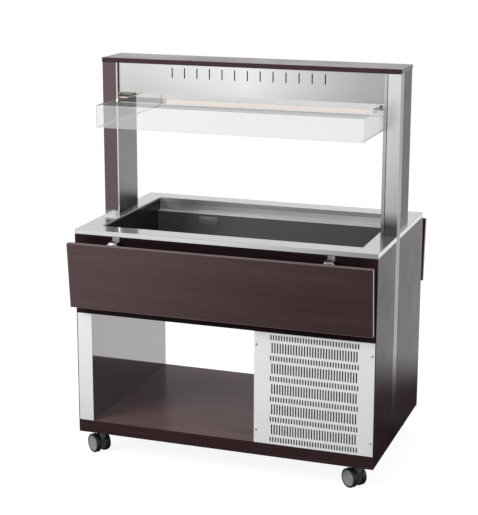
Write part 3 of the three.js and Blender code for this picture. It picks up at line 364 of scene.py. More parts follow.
def laminate(name, settings, along, level, shade=1.0):
    """Wenge laminate: fine dark pores along one axis under a clear sheen."""
    colour, pore_colour = scaled(settings.colour, shade), scaled(settings.pore_colour, shade)
    rough = settings.gloss
    look = Finish(name, colour, rough, 0.0, Specular_IOR_Level=level, Specular_Tint=settings.sheen)
    pores = look.group(grain_effect(), (-900, 300), Scale=stretched(along, 3, 260), Detail=4.0, Contrast=1.7)
    figure = look.group(grain_effect(), (-900, 500), Scale=stretched(along, 1.2, 30), Detail=3.0, Contrast=1.0)
    both = look.times(pores, figure, place=(-650, 350))
    both = look.times(both, 1.8, place=(-550, 350), clamp=True)
    look.drive("Base Color", look.mix(both, colour, pore_colour))
    look.marks(5.0, rough - 0.04, rough + 0.05)
    look.bump(pores, 0.05, 0.2 * MM)
    return look


def slide_laminate(name, settings):
    """The slide's laminate, with paler bands on its edges; both slides share it, so it works on the size of Y."""
    look = laminate(name, settings, "X", 0.7)
    x, y, z = look.axes()
    ends = look.beyond(x, HALF_X - 0.6 * MM)
    out = look.less(look.size(y), HINGE_Y)
    rise = look.less(z, HINGE_Z)
    sway = look.times(out, math.sin(SLIDE_TILT))
    run = look.plus(sway, look.times(rise, math.cos(SLIDE_TILT)))
    rims = look.beyond(look.less(run, SLIDE_MIDDLE), SLIDE_DEPTH / 2 - 1.8 * MM)
    # The edge bands on the top and bottom rims are painted at half their colour: painted shade that tones down their
    # glare.
    look.tint(rims, scaled(settings.edge_colour, 0.5))
    look.tint(ends, settings.edge_colour)
    look.drive("Roughness", look.maths("MULTIPLY_ADD", rims, 0.5, look.roughness()))
    return look


def cladding_laminate(name, settings):
    """The uprights' laminate, whose narrow faces towards the guest are painted paler: a painted sheen."""
    look = laminate(name, settings, "Z", 0.07)
    look.tint(look.beyond(look.axes()[1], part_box("left_post")[1].y - FACE), (0.105, 0.073, 0.075))
    return look


def apron_laminate(name, settings):
    """Painted shade: the aprons, which lie in the dark behind the slides, are painted darker, and darker still all but
    their ends, which stand beyond the hinges.
    """
    look = laminate(name, settings, "X", 0.05, 0.7)
    look.tint(fading(look, look.size(look.axes()[0]), HALF_X, 60 * MM), 0.5)
    return look


def base_laminate(name, settings):
    """The bottom board, a shade darker than the other laminate; its upper face, which carries the stored goods, is
    painted lighter than its edges: painted light.
    """
    look = laminate(name, settings, "X", 0.05, 0.85)
    look.tint(look.over(look.axes()[2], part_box("base_board")[1].z - FACE), 3.7)
    return look


def upright_steel(name, settings):
    """Brushed posts and liners, with painted light and shade: the faces that look along X and the liners' inner faces
    painted darker, painted highlights on the outer rims, and painted shade on the plinth and towards the feet.
    """
    look = brushed_steel(name, settings, "Z", 1.0, 0.22)
    x, y, z = look.axes()
    wide = look.size(x)
    depth = look.times(y, look.maths("SIGN", x))
    (post_side, post_front, _), (_, post_back, _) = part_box("right_post")
    joint_half, hem, margin = 0.9 * MM, 4 * MM, 0.1 * MM
    plinth_top = COUNTER_TOP + 18.4 * MM
    # The posts are set brighter than the liners; a dark joint runs between them.
    look.tint(look.over(wide, post_side - margin), 1.35)
    look.tint(look.within(look.less(wide, post_side), joint_half), 0.4)
    # Painted shade on the outer faces, which look along X, with painted highlights on their folded rims.
    outer = look.over(wide, HALF_X - FACE)
    look.tint(outer, (0.165, 0.165, 0.163))
    off_middle = look.less(depth, (post_front + post_back) / 2)
    rims = look.times(outer, look.beyond(off_middle, (post_back - post_front) / 2 - hem))
    look.tint(rims, (0.50, 0.50, 0.49))
    # Painted shade on the liners' inner faces.
    look.tint(look.under(wide, LINER_FACE + FACE), (0.182, 0.182, 0.180))
    # Painted shade on the plinth, and towards the feet of the posts and liners above the counter, darker still low on
    # the right post.
    above = look.over(z, COUNTER_TOP)
    plinth = look.times(look.over(depth, post_back + 0.15 * MM), look.under(z, plinth_top))
    look.tint(plinth, 0.26)
    foot = fading(look, z, COUNTER_TOP + 100 * MM, 100 * MM)
    look.tint(look.less(look.times(foot, above), plinth, clamp=True), (0.115, 0.115, 0.112))
    low = fading(look, z, COUNTER_TOP + 90 * MM, 55 * MM)
    right = look.times(look.over(x, post_side - margin), above)
    look.tint(look.times(low, right), (0.085, 0.085, 0.083))
    return look


def counter_steel(name, settings):
    """The counter's sheet: its edge painted brighter, a painted highlight, and the lip around the well in the well's
    own finish, in painted shade that is darkest on its ends.
    """
    look = brushed_steel(name, settings, "X", 0.80, 0.14, 0.9)
    x, y, z = look.axes()
    # Painted highlight on the edge below the top.
    look.tint(look.under(z, COUNTER_TOP - 1.3 * MM), 1.46)
    lip = look.times(look.within(x, WELL_END + 2 * MM), look.within(y, HALF_Y - 79 * MM))
    # Painted shade on the lip, as on the well's walls, darkest on its ends.
    look.tint(lip, scaled(settings.well_colour, 0.55))
    tall = look.under(z, COUNTER_TOP - 7 * MM)
    end = look.beyond(x, WELL_END - 1 * MM)
    look.tint(look.times(lip, look.times(end, tall)), (0.018, 0.018, 0.018))
    look.drive("Metallic", look.less(0.9, look.times(lip, 0.6)))
    return look


def fascia_steel(name, settings):
    """The canopy's brushed sheet, with a painted highlight in its middle for the soft glow that a long brushed face
    shows, and painted shade on all but its outer faces.
    """
    look = brushed_steel(name, settings, "X", 0.82, 0.27, marked=False)
    x, y, _ = look.axes()
    look.tint(look.less(1.0, look.times(look.size(x), 2.2), clamp=True), 1.6)
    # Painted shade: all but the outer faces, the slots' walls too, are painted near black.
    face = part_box("rear_fascia")[1].y - 0.2 * MM
    look.tint(look.within(y, face), (0.004, 0.004, 0.004))
    return look


def panel_steel(name, settings):
    """The pierced panels: bright outside, and painted black inside the slots and behind them: painted shade."""
    look = brushed_steel(name, settings, "Z", 1.45, 0.4, 0.3)
    x, y, _ = look.axes()
    low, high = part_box("front_grille")
    within = look.within(look.less(x, (low.x + high.x) / 2), (high.x - low.x) / 2 - 1.4 * MM)
    front = look.over(y, low.y + 0.2 * MM)
    rear = look.under(y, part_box("rear_service_panel")[1].y - 0.2 * MM)
    painted_shade_inside = look.times(within, look.times(front, rear))
    # Painted shade: all but the outer faces are painted near black.
    look.tint(painted_shade_inside, (0.002, 0.002, 0.002))
    look.drive("Metallic", look.most(painted_shade_inside, 0.3))
    return look


def lamp_enamel(name):
    """White inside, where it reflects the lamp; the outside, shut in by the canopy, is painted dark and the end beyond
    the tube darker: painted shade.
    """
    look = plastic(name, (0.55, 0.55, 0.535), 0.35)
    x, y, z = look.axes()
    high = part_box("lamp_housing")[1]
    run = look.times(look.less(z, high.z - 70 * MM), 13 / 35)
    wall = look.maths("MINIMUM", look.plus(run, high.y - 13 * MM), high.y)
    outside = look.beyond(y, look.less(wall, 0.9 * MM))
    look.tint(look.times(outside, look.over(z, FASCIA_FOOT)), (0.02, 0.02, 0.02))
    look.tint(look.under(x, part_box("lamp_tube")[0].x - 5 * MM), 0.4)
    return look


def brushed_steel(name, settings, along, shade=1.0, roughness=None, metallic=1.0, marked=True):
    """Stainless sheet brushed along one axis, with or without handling marks."""
    colour = scaled(settings.colour, shade)
    rough = settings.brushed if roughness is None else roughness
    look = Finish(name, colour, rough, metallic)
    streak = look.group(grain_effect(), (-900, 300), Scale=stretched(along, 4, 900), Detail=3.0, Contrast=1.6)
    look.drive("Base Color", look.mix(streak, scaled(colour, 0.90), colour))
    if marked:
        look.marks(3.0, rough - 0.04, rough + 0.06)
    look.bump(streak, 0.05, 0.1 * MM)
    return look


def polished_steel(name, settings):
    rough = settings.polished
    return Finish(name, settings.colour, rough, 1.0, (4.0, rough * 0.7, rough * 1.6))


def column_steel(name, settings):
    """Brushed front and back with a mirror face towards the bay, told apart by the distance along X."""
    look = brushed_steel(name, settings, "Z", 1.28, 0.4, 0.35)
    mirror = look.over(look.axes()[0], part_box("left_column_shell")[1].x - FACE)
    sockets = {0: mirror, 2: look.roughness(), 3: settings.polished}
    look.drive("Roughness", wired(look.tree, "ShaderNodeMix", (-200, -100), sockets, data_type="FLOAT"))
    look.tint(mirror, (0.345, 0.332, 0.325))
    look.drive("Metallic", look.most(mirror, 0.35))
    return look


def well_steel(name, settings):
    """Satin steel with painted light and shade: darker towards the left, painted shade below the ledge and on the end
    walls, the ledge in a painted tone of its own, and dark welded seams in its corners.
    """
    look = Finish(name, settings.well_colour, 0.3, 0.35)
    x, y, z = look.axes()
    sunk = look.under(z, WELL_LEDGE - 1.2 * MM)
    # Painted shade: the walls above the ledge darken towards the left.
    along = look.maths("MULTIPLY_ADD", x, 0.80, 0.45, clamp=True)
    wall = look.mix(along, (0.32, 0.325, 0.32), settings.well_colour, (-600, 400))
    # Painted shade below the ledge, and the ledge painted in a tone between the walls and that shade.
    shade = look.mix(sunk, wall, settings.painted_well_shade, (-400, 300))
    flat = look.within(look.less(z, WELL_LEDGE), 1.2 * MM)
    look.drive("Base Color", look.mix(flat, shade, settings.ledge_colour, (-300, 300)))
    # Painted shade on the end walls.
    look.tint(look.beyond(x, WELL_END - 0.8 * MM), (0.016, 0.016, 0.016))
    corner = look.times(look.beyond(x, WELL_END - 2.5 * MM), look.beyond(y, WELL_SIDE - 3.5 * MM))
    look.tint(look.times(corner, sunk), (0.010, 0.010, 0.010))
    return look


def plastic(name, colour, roughness):
    return Finish(name, colour, roughness, marks=(30.0, roughness - 0.05, roughness + 0.08))


# ---------------------------------------------------------------- mesh tools

def dress(names, look):
    """Gives CAD nodes a finish."""
    for name in names:
        mesh = NODES[name].data
        mesh.materials.clear()
        mesh.materials.append(look.material)


def smooth_by_angle(mesh):
    """Smooth shading, with sharp edges where two faces meet at more than the angle."""
    work = bmesh.new()
    work.from_mesh(mesh)
    limit = math.radians(32)
    for face in work.faces:
        face.smooth = True
    for edge in work.edges:
        edge.smooth = len(edge.link_faces) == 2 and edge.calc_face_angle(0) < limit
    work.to_mesh(mesh)
    work.free()


def put(name, data):
    """A new object in the scene."""
    made = bpy.data.objects.new(name, data)
    bpy.context.scene.collection.objects.link(made)
    return made


def to_mesh(name, work):
    mesh = bpy.data.meshes.new(name)
    work.to_mesh(mesh)
    work.free()
    return mesh


def piece(name, work, body, looks):
    """Turns a bmesh into a finished object that rides on a body."""
    bmesh.ops.recalc_face_normals(work, faces=work.faces)
    mesh = to_mesh(name, work)
    for look in looks:
        mesh.materials.append(look.material)
    smooth_by_angle(mesh)
    made = put(name, mesh)
    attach(made, body)
    return made


def in_mm(points):
    return [tuple(value * MM for value in point) for point in points]


def add_box(work, low, high, material=0, bevel=0.0, turn=Matrix()):
    low, high = Vector(low), Vector(high)
    matrix = turn @ Matrix.Translation((low + high) / 2) @ Matrix.Diagonal((*(high - low), 1))
    made = bmesh.ops.create_cube(work, size=1.0, matrix=matrix)
    for face in {face for vert in made["verts"] for face in vert.link_faces}:
        face.material_index = material
    if bevel > 0:
        edges = {edge for vert in made["verts"] for edge in vert.link_edges}
        bmesh.ops.bevel(work, geom=list(edges), offset=bevel, segments=2, affect="EDGES", profile=0.5)


def around(sides, radius=1.0):
    """The points of a circle."""
    turns = [2 * math.pi * i / sides for i in range(sides)]
    return [(radius * math.cos(turn), radius * math.sin(turn)) for turn in turns]


def add_turned(work, profile, sides, matrix=Matrix(), materials=None):
    """A closed form turned about Z; the profile runs from axis to axis as (radius, height)."""
    rings = []
    for radius, height in profile:
        points = around(sides, radius) if radius > 0 else [(0, 0)]
        rings.append([work.verts.new(matrix @ Vector((x, y, height))) for x, y in points])
    for index, (below, above) in enumerate(zip(rings, rings[1:])):
        for i in range(sides):
            j = (i + 1) % sides
            corners = [below[i % len(below)], below[j % len(below)], above[j % len(above)], above[i % len(above)]]
            face = work.faces.new(list(dict.fromkeys(corners)))
            if materials:
                face.material_index = materials[index]


def add_tube(work, points, radius, sides=8):
    """A round bar through the points, with flat ends."""
    points = [Vector(point) for point in points]
    rings = []
    normal = None
    for i, point in enumerate(points):
        ahead = points[min(i + 1, len(points) - 1)] - points[max(i - 1, 0)]
        ahead.normalize()
        if normal is None:
            normal = ahead.orthogonal().normalized()
        normal = (normal - ahead * normal.dot(ahead)).normalized()
        side = ahead.cross(normal)
        rings.append([work.verts.new(point + radius * (x * normal + y * side)) for x, y in around(sides)])
    for below, above in zip(rings, rings[1:]):
        for k in range(sides):
            j = (k + 1) % sides
            work.faces.new([below[k], below[j], above[j], above[k]])
    work.faces.new(rings[0][::-1])
    work.faces.new(rings[-1])


def facing(point, direction):
    """A frame at a point whose Z looks along the direction."""
    turn = Vector(direction).to_track_quat("Z", "Y").to_matrix().to_4x4()
    return Matrix.Translation(point) @ turn


# ---------------------------------------------------------------- operators

class SALAD_OT_laminate(bpy.types.Operator):
    """Give the cabinet's boards, the uprights and the tray slides their wenge laminate"""
    bl_idname = "salad_bar.laminate"
    bl_label = "Laminate"

    def execute(self, context):
        settings = setting(context, "laminate")
        upright = laminate("Wenge upright", settings, "Z", 0.07)
        dress(SIDE_NODES, upright)
        dress(["left_upright_cladding", "right_upright_cladding"], cladding_laminate("Wenge cladding", settings))
        dress(["top_board", "deck_panel"], laminate("Wenge level", settings, "X", 0.16))
        dress(["front_apron", "rear_apron"], apron_laminate("Wenge apron", settings))
        dress(["base_board"], base_laminate("Wenge base", settings))
        dress(SLIDE_NODES, slide_laminate("Wenge slide", settings))
        return {"FINISHED"}


class SALAD_OT_steel(bpy.types.Operator):
    """Give the counter, the posts, the liners, the grille, the fascias and the bay their stainless finishes"""
    bl_idname = "salad_bar.steel"
    bl_label = "Stainless steel"

    def execute(self, context):
        settings = setting(context, "steel")
        dress(["front_grille", "rear_service_panel"], panel_steel("Panel steel", settings))
        dress(["front_fascia", "rear_fascia"], fascia_steel("Fascia steel", settings))
        dress(["left_post", "right_post", "left_upright_liner", "right_upright_liner"],
              upright_steel("Upright steel", settings))
        dress(["counter_top"], counter_steel("Counter steel", settings))
        dress(["left_column_shell"], column_steel("Column steel", settings))
        dress(["machine_partition"], polished_steel("Partition steel", settings))
        bracket = Finish("Bracket steel", (0.52, 0.47, 0.40), 0.22, 1.0, (12.0, 0.16, 0.30))
        dress(["left_guard_bracket", "right_guard_bracket"], bracket)
        dress(["left_guard_screw", "right_guard_screw"], polished_steel("Screw head steel", settings))
        zinc = brushed_steel("Hinge steel", settings, "Z", 0.62, 0.35)
        dress([f"{name}_{part}" for name in CORNERS for part in ("slide_arm", "hinge_bracket")], zinc)
        dress(["well_tank"], well_steel("Well steel", settings))
        return {"FINISHED"}


class SALAD_OT_well_fittings(bpy.types.Operator):
    """Fit the well's temperature sensor plate and the drain's strainer"""
    bl_idname = "salad_bar.well_fittings"
    bl_label = "Well fittings"

    def execute(self, context):
        plate = Finish("Sensor plate steel", (0.150, 0.155, 0.145), 0.4, 0.35, (12.0, 0.34, 0.46))
        dark = plastic("Strainer shadow", (0.01, 0.01, 0.01), 0.6)
        work = bmesh.new()
        back = WELL_SIDE - 0.2 * MM
        face = back - 2 * MM
        (left, foot), (right, head) = in_mm([(-326, 815), (-241, 851)])
        add_box(work, (left, face, foot), (right, back, head), bevel=0.4 * MM)
        screw = in_mm([(0, 0), (3.2, 0), (3.0, 1.0), (1.8, 1.7), (0, 1.9)])
        for x in (left + 8 * MM, right - 8 * MM):
            add_turned(work, screw, 18, facing((x, face, (foot + head) / 2), (0, -1, 0)))
        piece("well_sensor_plate", work, "cabinet", [plate])
        work = bmesh.new()
        rim = in_mm([(0, 0), (21, 0), (21, 0.6), (19, 1.6), (14, 1.6), (13, 0.5), (0, 0.5)])
        drain = facing(DRAIN, (0, 0, 1))
        add_turned(work, rim, 40, drain, [0, 0, 0, 0, 0, 1])
        bar_low, bar_high = in_mm([(-14, -1.1, 0.65), (14, 1.1, 1.55)])
        for k in range(3):
            add_box(work, bar_low, bar_high, turn=drain @ Matrix.Rotation(k * math.pi / 3, 4, "Z"))
        piece("drain_strainer", work, "cabinet", [plate, dark])
        return {"FINISHED"}


class SALAD_OT_hinges(bpy.types.Operator):
    """Cap the slides' hinge pins and set black washers beside the arms"""
    bl_idname = "salad_bar.hinges"
    bl_label = "Hinge caps"

    def execute(self, context):
        cap = Finish("Pin cap steel", (0.20, 0.20, 0.195), 0.42, 1.0, (20.0, 0.36, 0.48))
        black = plastic("Washer nylon", (0.012, 0.012, 0.012), 0.5)
        work = bmesh.new()
        dome = in_mm([(0, 0), (6.4, 0), (6.4, 0.6), (5.6, 1.8), (3.4, 2.7), (0, 3.0)])
        washer = in_mm([(0, 0), (8.6, 0), (9.0, 0.4), (9.0, 1.2), (8.6, 1.6), (0, 1.6)])
        for name in CORNERS:
            low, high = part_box(f"{name}_hinge_bracket")
            arm_low, arm_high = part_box(f"{name}_slide_arm")
            y = HINGE_Y * (-1 if name.startswith("front") else 1)
            for form, x, way, material in (
                (dome, high.x, 1, 0), (dome, low.x, -1, 0),
                (washer, arm_high.x + 0.2 * MM, 1, 1), (washer, arm_low.x - 0.2 * MM, -1, 1),
            ):
                add_turned(work, form, 24, facing((x, y, HINGE_Z), (way, 0, 0)), [material] * 5)
        piece("hinge_pin_caps", work, "cabinet", [cap, black])
        return {"FINISHED"}


class SALAD_OT_guard(bpy.types.Operator):
    """Give the guard its clear acrylic"""
    bl_idname = "salad_bar.guard"
    bl_label = "Clear guard"

    def execute(self, context):
        settings = setting(context, "guard")
        look = Finish("Clear acrylic", settings.tint, 0.04, 0.0, IOR=ACRYLIC_IOR)
        x, y, z = look.axes()
        long, deep = look.size(x), look.size(y)
        wall = settings.wall
        # Where two walls meet, the acrylic is seen through its edge; there it is shown as a pale cover, painted light.
        levels = look.most(look.over(z, GUARD_HI.z - wall), look.under(z, GUARD_LO.z + wall / 2))
        walls = look.plus(look.over(long, GUARD_HI.x - wall), look.over(deep, GUARD_HI.y - wall))
        edge = look.over(look.plus(walls, levels), 1.5)
        # The upright walls veil what lies behind them, seen from outside, with an even grey cover: a painted
        # reflection.
        top = look.over(z, GUARD_HI.z - FACE)
        skin = look.most(look.over(long, GUARD_HI.x - FACE), look.over(deep, GUARD_HI.y - FACE))
        outside = look.less(1.0, node(look.tree, "ShaderNodeNewGeometry", (-900, -600)).outputs["Backfacing"])
        painted_reflection_mask = look.times(look.times(skin, outside), settings.painted_reflection_cover)
        # The flat top is painted dark and mirrors more the lower it is looked at, and to the camera alone: a painted
        # reflection.
        grazing = wired(look.tree, "ShaderNodeFresnel", (-500, -500), {"IOR": ACRYLIC_IOR})
        mirror = look.times(look.times(top, outside), grazing)
        ray = node(look.tree, "ShaderNodeLightPath", (-900, -800)).outputs
        gloss = look.times(look.times(mirror, ray["Is Camera Ray"]), 1.2, clamp=True)
        look.tint(top, 0.1)
        bare = look.plus(look.most(painted_reflection_mask, gloss), 0.03)
        look.drive("Alpha", look.most(look.times(edge, settings.edge), bare, clamp=True))
        # Its outer strips are duller than its middle.
        strip, fade = 240 * MM, 50 * MM
        dull = look.less(top, look.times(top, fading(look, deep, strip, fade)), clamp=True)
        look.drive("Roughness", look.maths("MULTIPLY_ADD", dull, 0.66, 0.04))
        dress(["sneeze_guard"], look)
        return {"FINISHED"}


class SALAD_OT_lamp(bpy.types.Operator):
    """Finish the lamp's housing and light its tube"""
    bl_idname = "salad_bar.lamp"
    bl_label = "Canopy lamp"

    def execute(self, context):
        settings = setting(context, "lamp")
        dress(["lamp_housing"], lamp_enamel("Lamp enamel"))
        tube = Finish("Lit tube", (0.95, 0.92, 0.88), 0.3, 0.0,
                      Emission_Color=(*settings.colour, 1), Emission_Strength=settings.strength)
        dress(["lamp_tube"], tube)
        self.end_caps(context)
        return {"FINISHED"}

    def end_caps(self, context):
        """Bright sleeves over the tube's ends."""
        low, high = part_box("lamp_tube")
        radius = (high.z - low.z) / 2 + 0.5 * MM
        middle = (low.z + high.z) / 2
        work = bmesh.new()
        length = 17 * MM
        sleeve = [(0, -1.5 * MM), (radius - 1 * MM, -1.5 * MM), (radius, -0.5 * MM), (radius, length - 1 * MM),
                  (radius - 0.4 * MM, length), (0, length)]
        for x, way in ((low.x + length, -1), (high.x - length, 1)):
            add_turned(work, sleeve, 32, facing((x, 0, middle), (way, 0, 0)))
        look = polished_steel("Lamp cap steel", setting(context, "steel"))
        piece("lamp_end_caps", work, "cabinet", [look])


class SALAD_OT_casters(bpy.types.Operator):
    """Replace the plain wheels with tyred ones and finish the yokes"""
    bl_idname = "salad_bar.casters"
    bl_label = "Casters"

    def execute(self, context):
        settings = setting(context, "caster")
        tyre = plastic("Tyre rubber", (0.013, 0.013, 0.013), 0.55)
        disc = plastic("Wheel disc", (0.23, 0.24, 0.24), 0.42)
        dress([f"{name}_caster_yoke" for name in CORNERS], plastic("Yoke plastic", (0.11, 0.115, 0.12), 0.45))
        for name in CORNERS:
            for side, sign in (("outer", -1), ("inner", 1)):
                self.wheel(f"{name}_{side}", sign, settings, (tyre, disc))
        return {"FINISHED"}

    def wheel(self, name, sign, settings, looks):
        """A grey wheel between domed faces, with a black tyre that is rounded at its shoulders."""
        joint = JOINTS[f"{name}_roll"]
        centre = Vector(joint["pos_m"])
        half = settings.width / 2
        face = settings.disc / 2
        tread = centre.z
        shoulder = in_mm([(3.4, 0), (1.2, 0.8), (0.2, 2.6), (0, 5)])
        back = in_mm([(-6, 2), (-4, 0.6), (1, 0.2)])
        front = in_mm([(0.8, 0.2), (0.3, 1.6), (-0.6, 1.6), (-1.2, 0.7), (-5, 0.4), (-6, 1.0)])
        profile = [(0, -half + 2 * MM)]
        profile += [(face + out, -half + sunk) for out, sunk in back]
        profile += [(tread - worn, -half + sunk) for worn, sunk in shoulder]
        profile += [(tread - worn, half - sunk) for worn, sunk in reversed(shoulder)]
        profile += [(face + out, half - sunk) for out, sunk in front]
        profile += [(10 * MM, half - 0.9 * MM), (9 * MM, half - 0.2 * MM), (0, half - 0.1 * MM)]
        rubber, grey = 0, 1
        bands = [grey] * 3 + [rubber] * 10 + [grey] * 7
        work = bmesh.new()
        add_turned(work, profile, 48, facing(centre, sign * Vector(joint["axis"])), bands)
        made = piece(f"{name}_wheel_dressed", work, f"{name}_wheel_body", looks)
        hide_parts(f"{name}_wheel")


class SALAD_OT_machine(bpy.types.Operator):
    """Finish the compressor, the condenser, the fan and the suction line"""
    bl_idname = "salad_bar.machine"
    bl_label = "Cooling machine"

    def execute(self, context):
        dress(["compressor"], plastic("Compressor paint", (0.012, 0.012, 0.013), 0.32))
        # The fins are painted dark: painted shade behind the grille's slots.
        dress(["condenser"], Finish("Condenser fins", (0.11, 0.112, 0.11), 0.5, 0.6))
        dress(["fan_housing", "fan_rotor"], plastic("Fan plastic", (0.02, 0.02, 0.021), 0.5))
        copper = Finish("Copper line", (0.60, 0.28, 0.14), 0.3, 1.0, (20.0, 0.22, 0.42))
        dress(["suction_line"], copper)
        dress(["well_insulation"], plastic("Foam", (0.72, 0.62, 0.36), 0.8))
        self.air_guide()
        self.fan_guard()
        self.terminal_cover()
        return {"FINISHED"}

    def fan_guard(self):
        """Wire rings and spokes over the fan's open side."""
        centre = Vector(JOINTS["fan_spin"]["pos_m"])
        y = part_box("fan_housing")[1].y + 3 * MM
        work = bmesh.new()
        for radius in (30, 50, 70, 90, 110):
            ring = [(centre.x + x, y, centre.z + z) for x, z in around(36, radius * MM)]
            add_tube(work, ring + ring[:1], 1.1 * MM)
        for k in range(6):
            turn = math.pi / 6 + k * math.pi / 3
            line = [(centre.x + reach * MM * math.cos(turn), y + 1.8 * MM, centre.z + reach * MM * math.sin(turn))
                    for reach in (24, 60, 112)]
            add_tube(work, line, 1.3 * MM)
        wire = Finish("Guard wire", (0.40, 0.40, 0.39), 0.35, 1.0, (20.0, 0.28, 0.45))
        piece("fan_guard", work, "cabinet", [wire])

    def terminal_cover(self):
        """The clipped cover over the compressor's terminals."""
        low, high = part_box("compressor")
        middle = (low.x + high.x) / 2
        foot, head = 226 * MM, 290 * MM
        work = bmesh.new()
        add_box(work, (middle - 26 * MM, high.y - 34 * MM, foot), (middle + 26 * MM, high.y - 4 * MM, head),
                bevel=3 * MM)
        lip = 4 * MM
        add_box(work, (middle - 29 * MM, high.y - 12 * MM, foot - lip),
                (middle + 29 * MM, high.y - 8 * MM, head + lip), bevel=1 * MM)
        piece("terminal_cover", work, "cabinet", [plastic("Terminal cover", (0.03, 0.03, 0.032), 0.45)])

    def air_guide(self):
        """The black sheet around the condenser that makes the fan draw through the grille."""
        low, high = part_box("condenser")
        gap = 0.5 * MM
        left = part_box("machine_partition")[1].x + gap
        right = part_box("front_grille")[1].x - gap
        top = BAY_TOP - 1 * MM
        near, back = low.y + 10 * MM, low.y + 12 * MM
        work = bmesh.new()
        add_box(work, (left - 18 * MM, near, low.z), (low.x - gap, back, top))
        add_box(work, (high.x + gap, near, low.z), (right, back, top))
        add_box(work, (low.x - gap, near, high.z + gap), (high.x + gap, back, top))
        piece("air_guide", work, "cabinet", [plastic("Guide paint", (0.012, 0.012, 0.012), 0.6)])


class SALAD_OT_controls(bpy.types.Operator):
    """Finish the control unit and its switch"""
    bl_idname = "salad_bar.controls"
    bl_label = "Controls"

    def execute(self, context):
        dress(["control_unit"], plastic("Control case", (0.02, 0.02, 0.022), 0.4))
        dress(["switch_rocker"], plastic("Switch", (0.06, 0.06, 0.065), 0.35))
        window = Finish("Display window", (0.006, 0.004, 0.004), 0.08, marks=(30.0, 0.05, 0.14))
        keys = plastic("Keys", (0.16, 0.16, 0.165), 0.5)
        work = bmesh.new()
        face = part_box("control_unit")[1].y
        back = face - 0.4 * MM
        add_box(work, (343 * MM, back, 519 * MM), (385 * MM, face + 0.7 * MM, 543 * MM), bevel=0.3 * MM)
        key = 4 * MM
        for x in (394 * MM, 406 * MM):
            for z in (525 * MM, 537 * MM):
                add_box(work, (x - key, back, z - key), (x + key, face + 1.2 * MM, z + key), 1, 0.5 * MM)
        piece("control_display", work, "cabinet", [window, keys])
        return {"FINISHED"}


def screw_tree():
    """Geometry nodes that stand a domed, slotted head on every point, facing along its normal."""
    tree = bpy.data.node_groups.new("Panel screws", "GeometryNodeTree")
    face = tree.interface
    face.new_socket(name="Geometry", in_out="INPUT", socket_type="NodeSocketGeometry")
    for label in ("Head diameter", "Head height"):
        face.new_socket(name=label, in_out="INPUT", socket_type="NodeSocketFloat")
    face.new_socket(name="Material", in_out="INPUT", socket_type="NodeSocketMaterial")
    face.new_socket(name="Geometry", in_out="OUTPUT", socket_type="NodeSocketGeometry")
    given = node(tree, "NodeGroupInput", (-900, 0)).outputs
    diameter, height = given["Head diameter"], given["Head height"]
    head = wired(tree, "GeometryNodeMeshCone", (-450, 250), {
        "Vertices": 20, "Depth": height,
        "Radius Top": maths(tree, "MULTIPLY", diameter, 0.33, place=(-700, 350)),
        "Radius Bottom": maths(tree, "MULTIPLY", diameter, 0.5, place=(-700, 200))})
    size = wired(tree, "ShaderNodeCombineXYZ", (-650, 0), {"X": diameter, "Y": 1.2 * MM, "Z": height})
    slot = wired(tree, "GeometryNodeMeshCube", (-450, 0), {"Size": size})
    lift = wired(tree, "ShaderNodeCombineXYZ", (-400, -200), {
        "Z": maths(tree, "MULTIPLY", height, 1.5, place=(-600, -200))})
    raised = wired(tree, "GeometryNodeTransform", (-200, 0), {"Geometry": slot, "Translation": lift})
    cut = wired(tree, "GeometryNodeMeshBoolean", (0, 150), {"Mesh 1": head, "Mesh 2": raised},
                operation="DIFFERENCE", solver="EXACT")
    normal = node(tree, "GeometryNodeInputNormal", (-200, -300))
    turn = wired(tree, "FunctionNodeAlignRotationToVector", (0, -150), {"Vector": normal}, axis="Z")
    stand = wired(tree, "GeometryNodeInstanceOnPoints", (300, 50), {
        "Points": given["Geometry"], "Instance": cut, "Rotation": turn})
    real = wired(tree, "GeometryNodeRealizeInstances", (500, 50), {0: stand})
    paint = wired(tree, "GeometryNodeSetMaterial", (700, 50), {"Geometry": real, "Material": given["Material"]})
    wired(tree, "NodeGroupOutput", (900, 0), {0: paint})
    return tree


def scatter(name, tree, places, values, look, body):
    """Runs a tree on the corners of specks that each carry a normal, and keeps the result as a plain mesh."""
    carrier = bmesh.new()
    speck = in_mm([(0, 0.01, 0), (-0.01, -0.01, 0), (0.01, -0.01, 0)])
    for point, normal in places:
        matrix = facing(point, normal)
        carrier.faces.new([carrier.verts.new(matrix @ Vector(corner)) for corner in speck])
    mesh = to_mesh(name + "_points", carrier)
    holder = put(name + "_points", mesh)
    modifier = holder.modifiers.new("Screws", "NODES")
    modifier.node_group = tree
    sockets = {item.name: item.identifier for item in tree.interface.items_tree if item.in_out == "INPUT"}
    for key, value in values.items():
        modifier[sockets[key]] = value
    modifier[sockets["Material"]] = look.material
    graph = bpy.context.evaluated_depsgraph_get()
    result = bpy.data.meshes.new_from_object(holder.evaluated_get(graph), depsgraph=graph)
    bpy.data.objects.remove(holder)
    bpy.data.meshes.remove(mesh)
    result.name = name
    made = put(name, result)
    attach(made, body)


class SALAD_OT_screws(bpy.types.Operator):
    """Stand screws on the grille and the service panel"""
    bl_idname = "salad_bar.screws"
    bl_label = "Panel screws"

    def execute(self, context):
        settings = setting(context, "screw")
        look = Finish("Screw steel", (0.42, 0.42, 0.41), 0.3, 1.0)
        low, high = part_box("front_grille")
        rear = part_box("rear_service_panel")[1].y
        places = []
        inset, end = 9 * MM, 50 * MM
        for x in (low.x + inset, high.x - inset):
            for z in (BASE_TOP + end, BAY_TOP - end):
                places.append(((x, low.y, z), (0, -1, 0)))
                places.append(((x, rear, z), (0, 1, 0)))
        values = {"Head diameter": settings.head, "Head height": settings.height}
        scatter("panel_screws", screw_tree(), places, values, look, "cabinet")
        return {"FINISHED"}


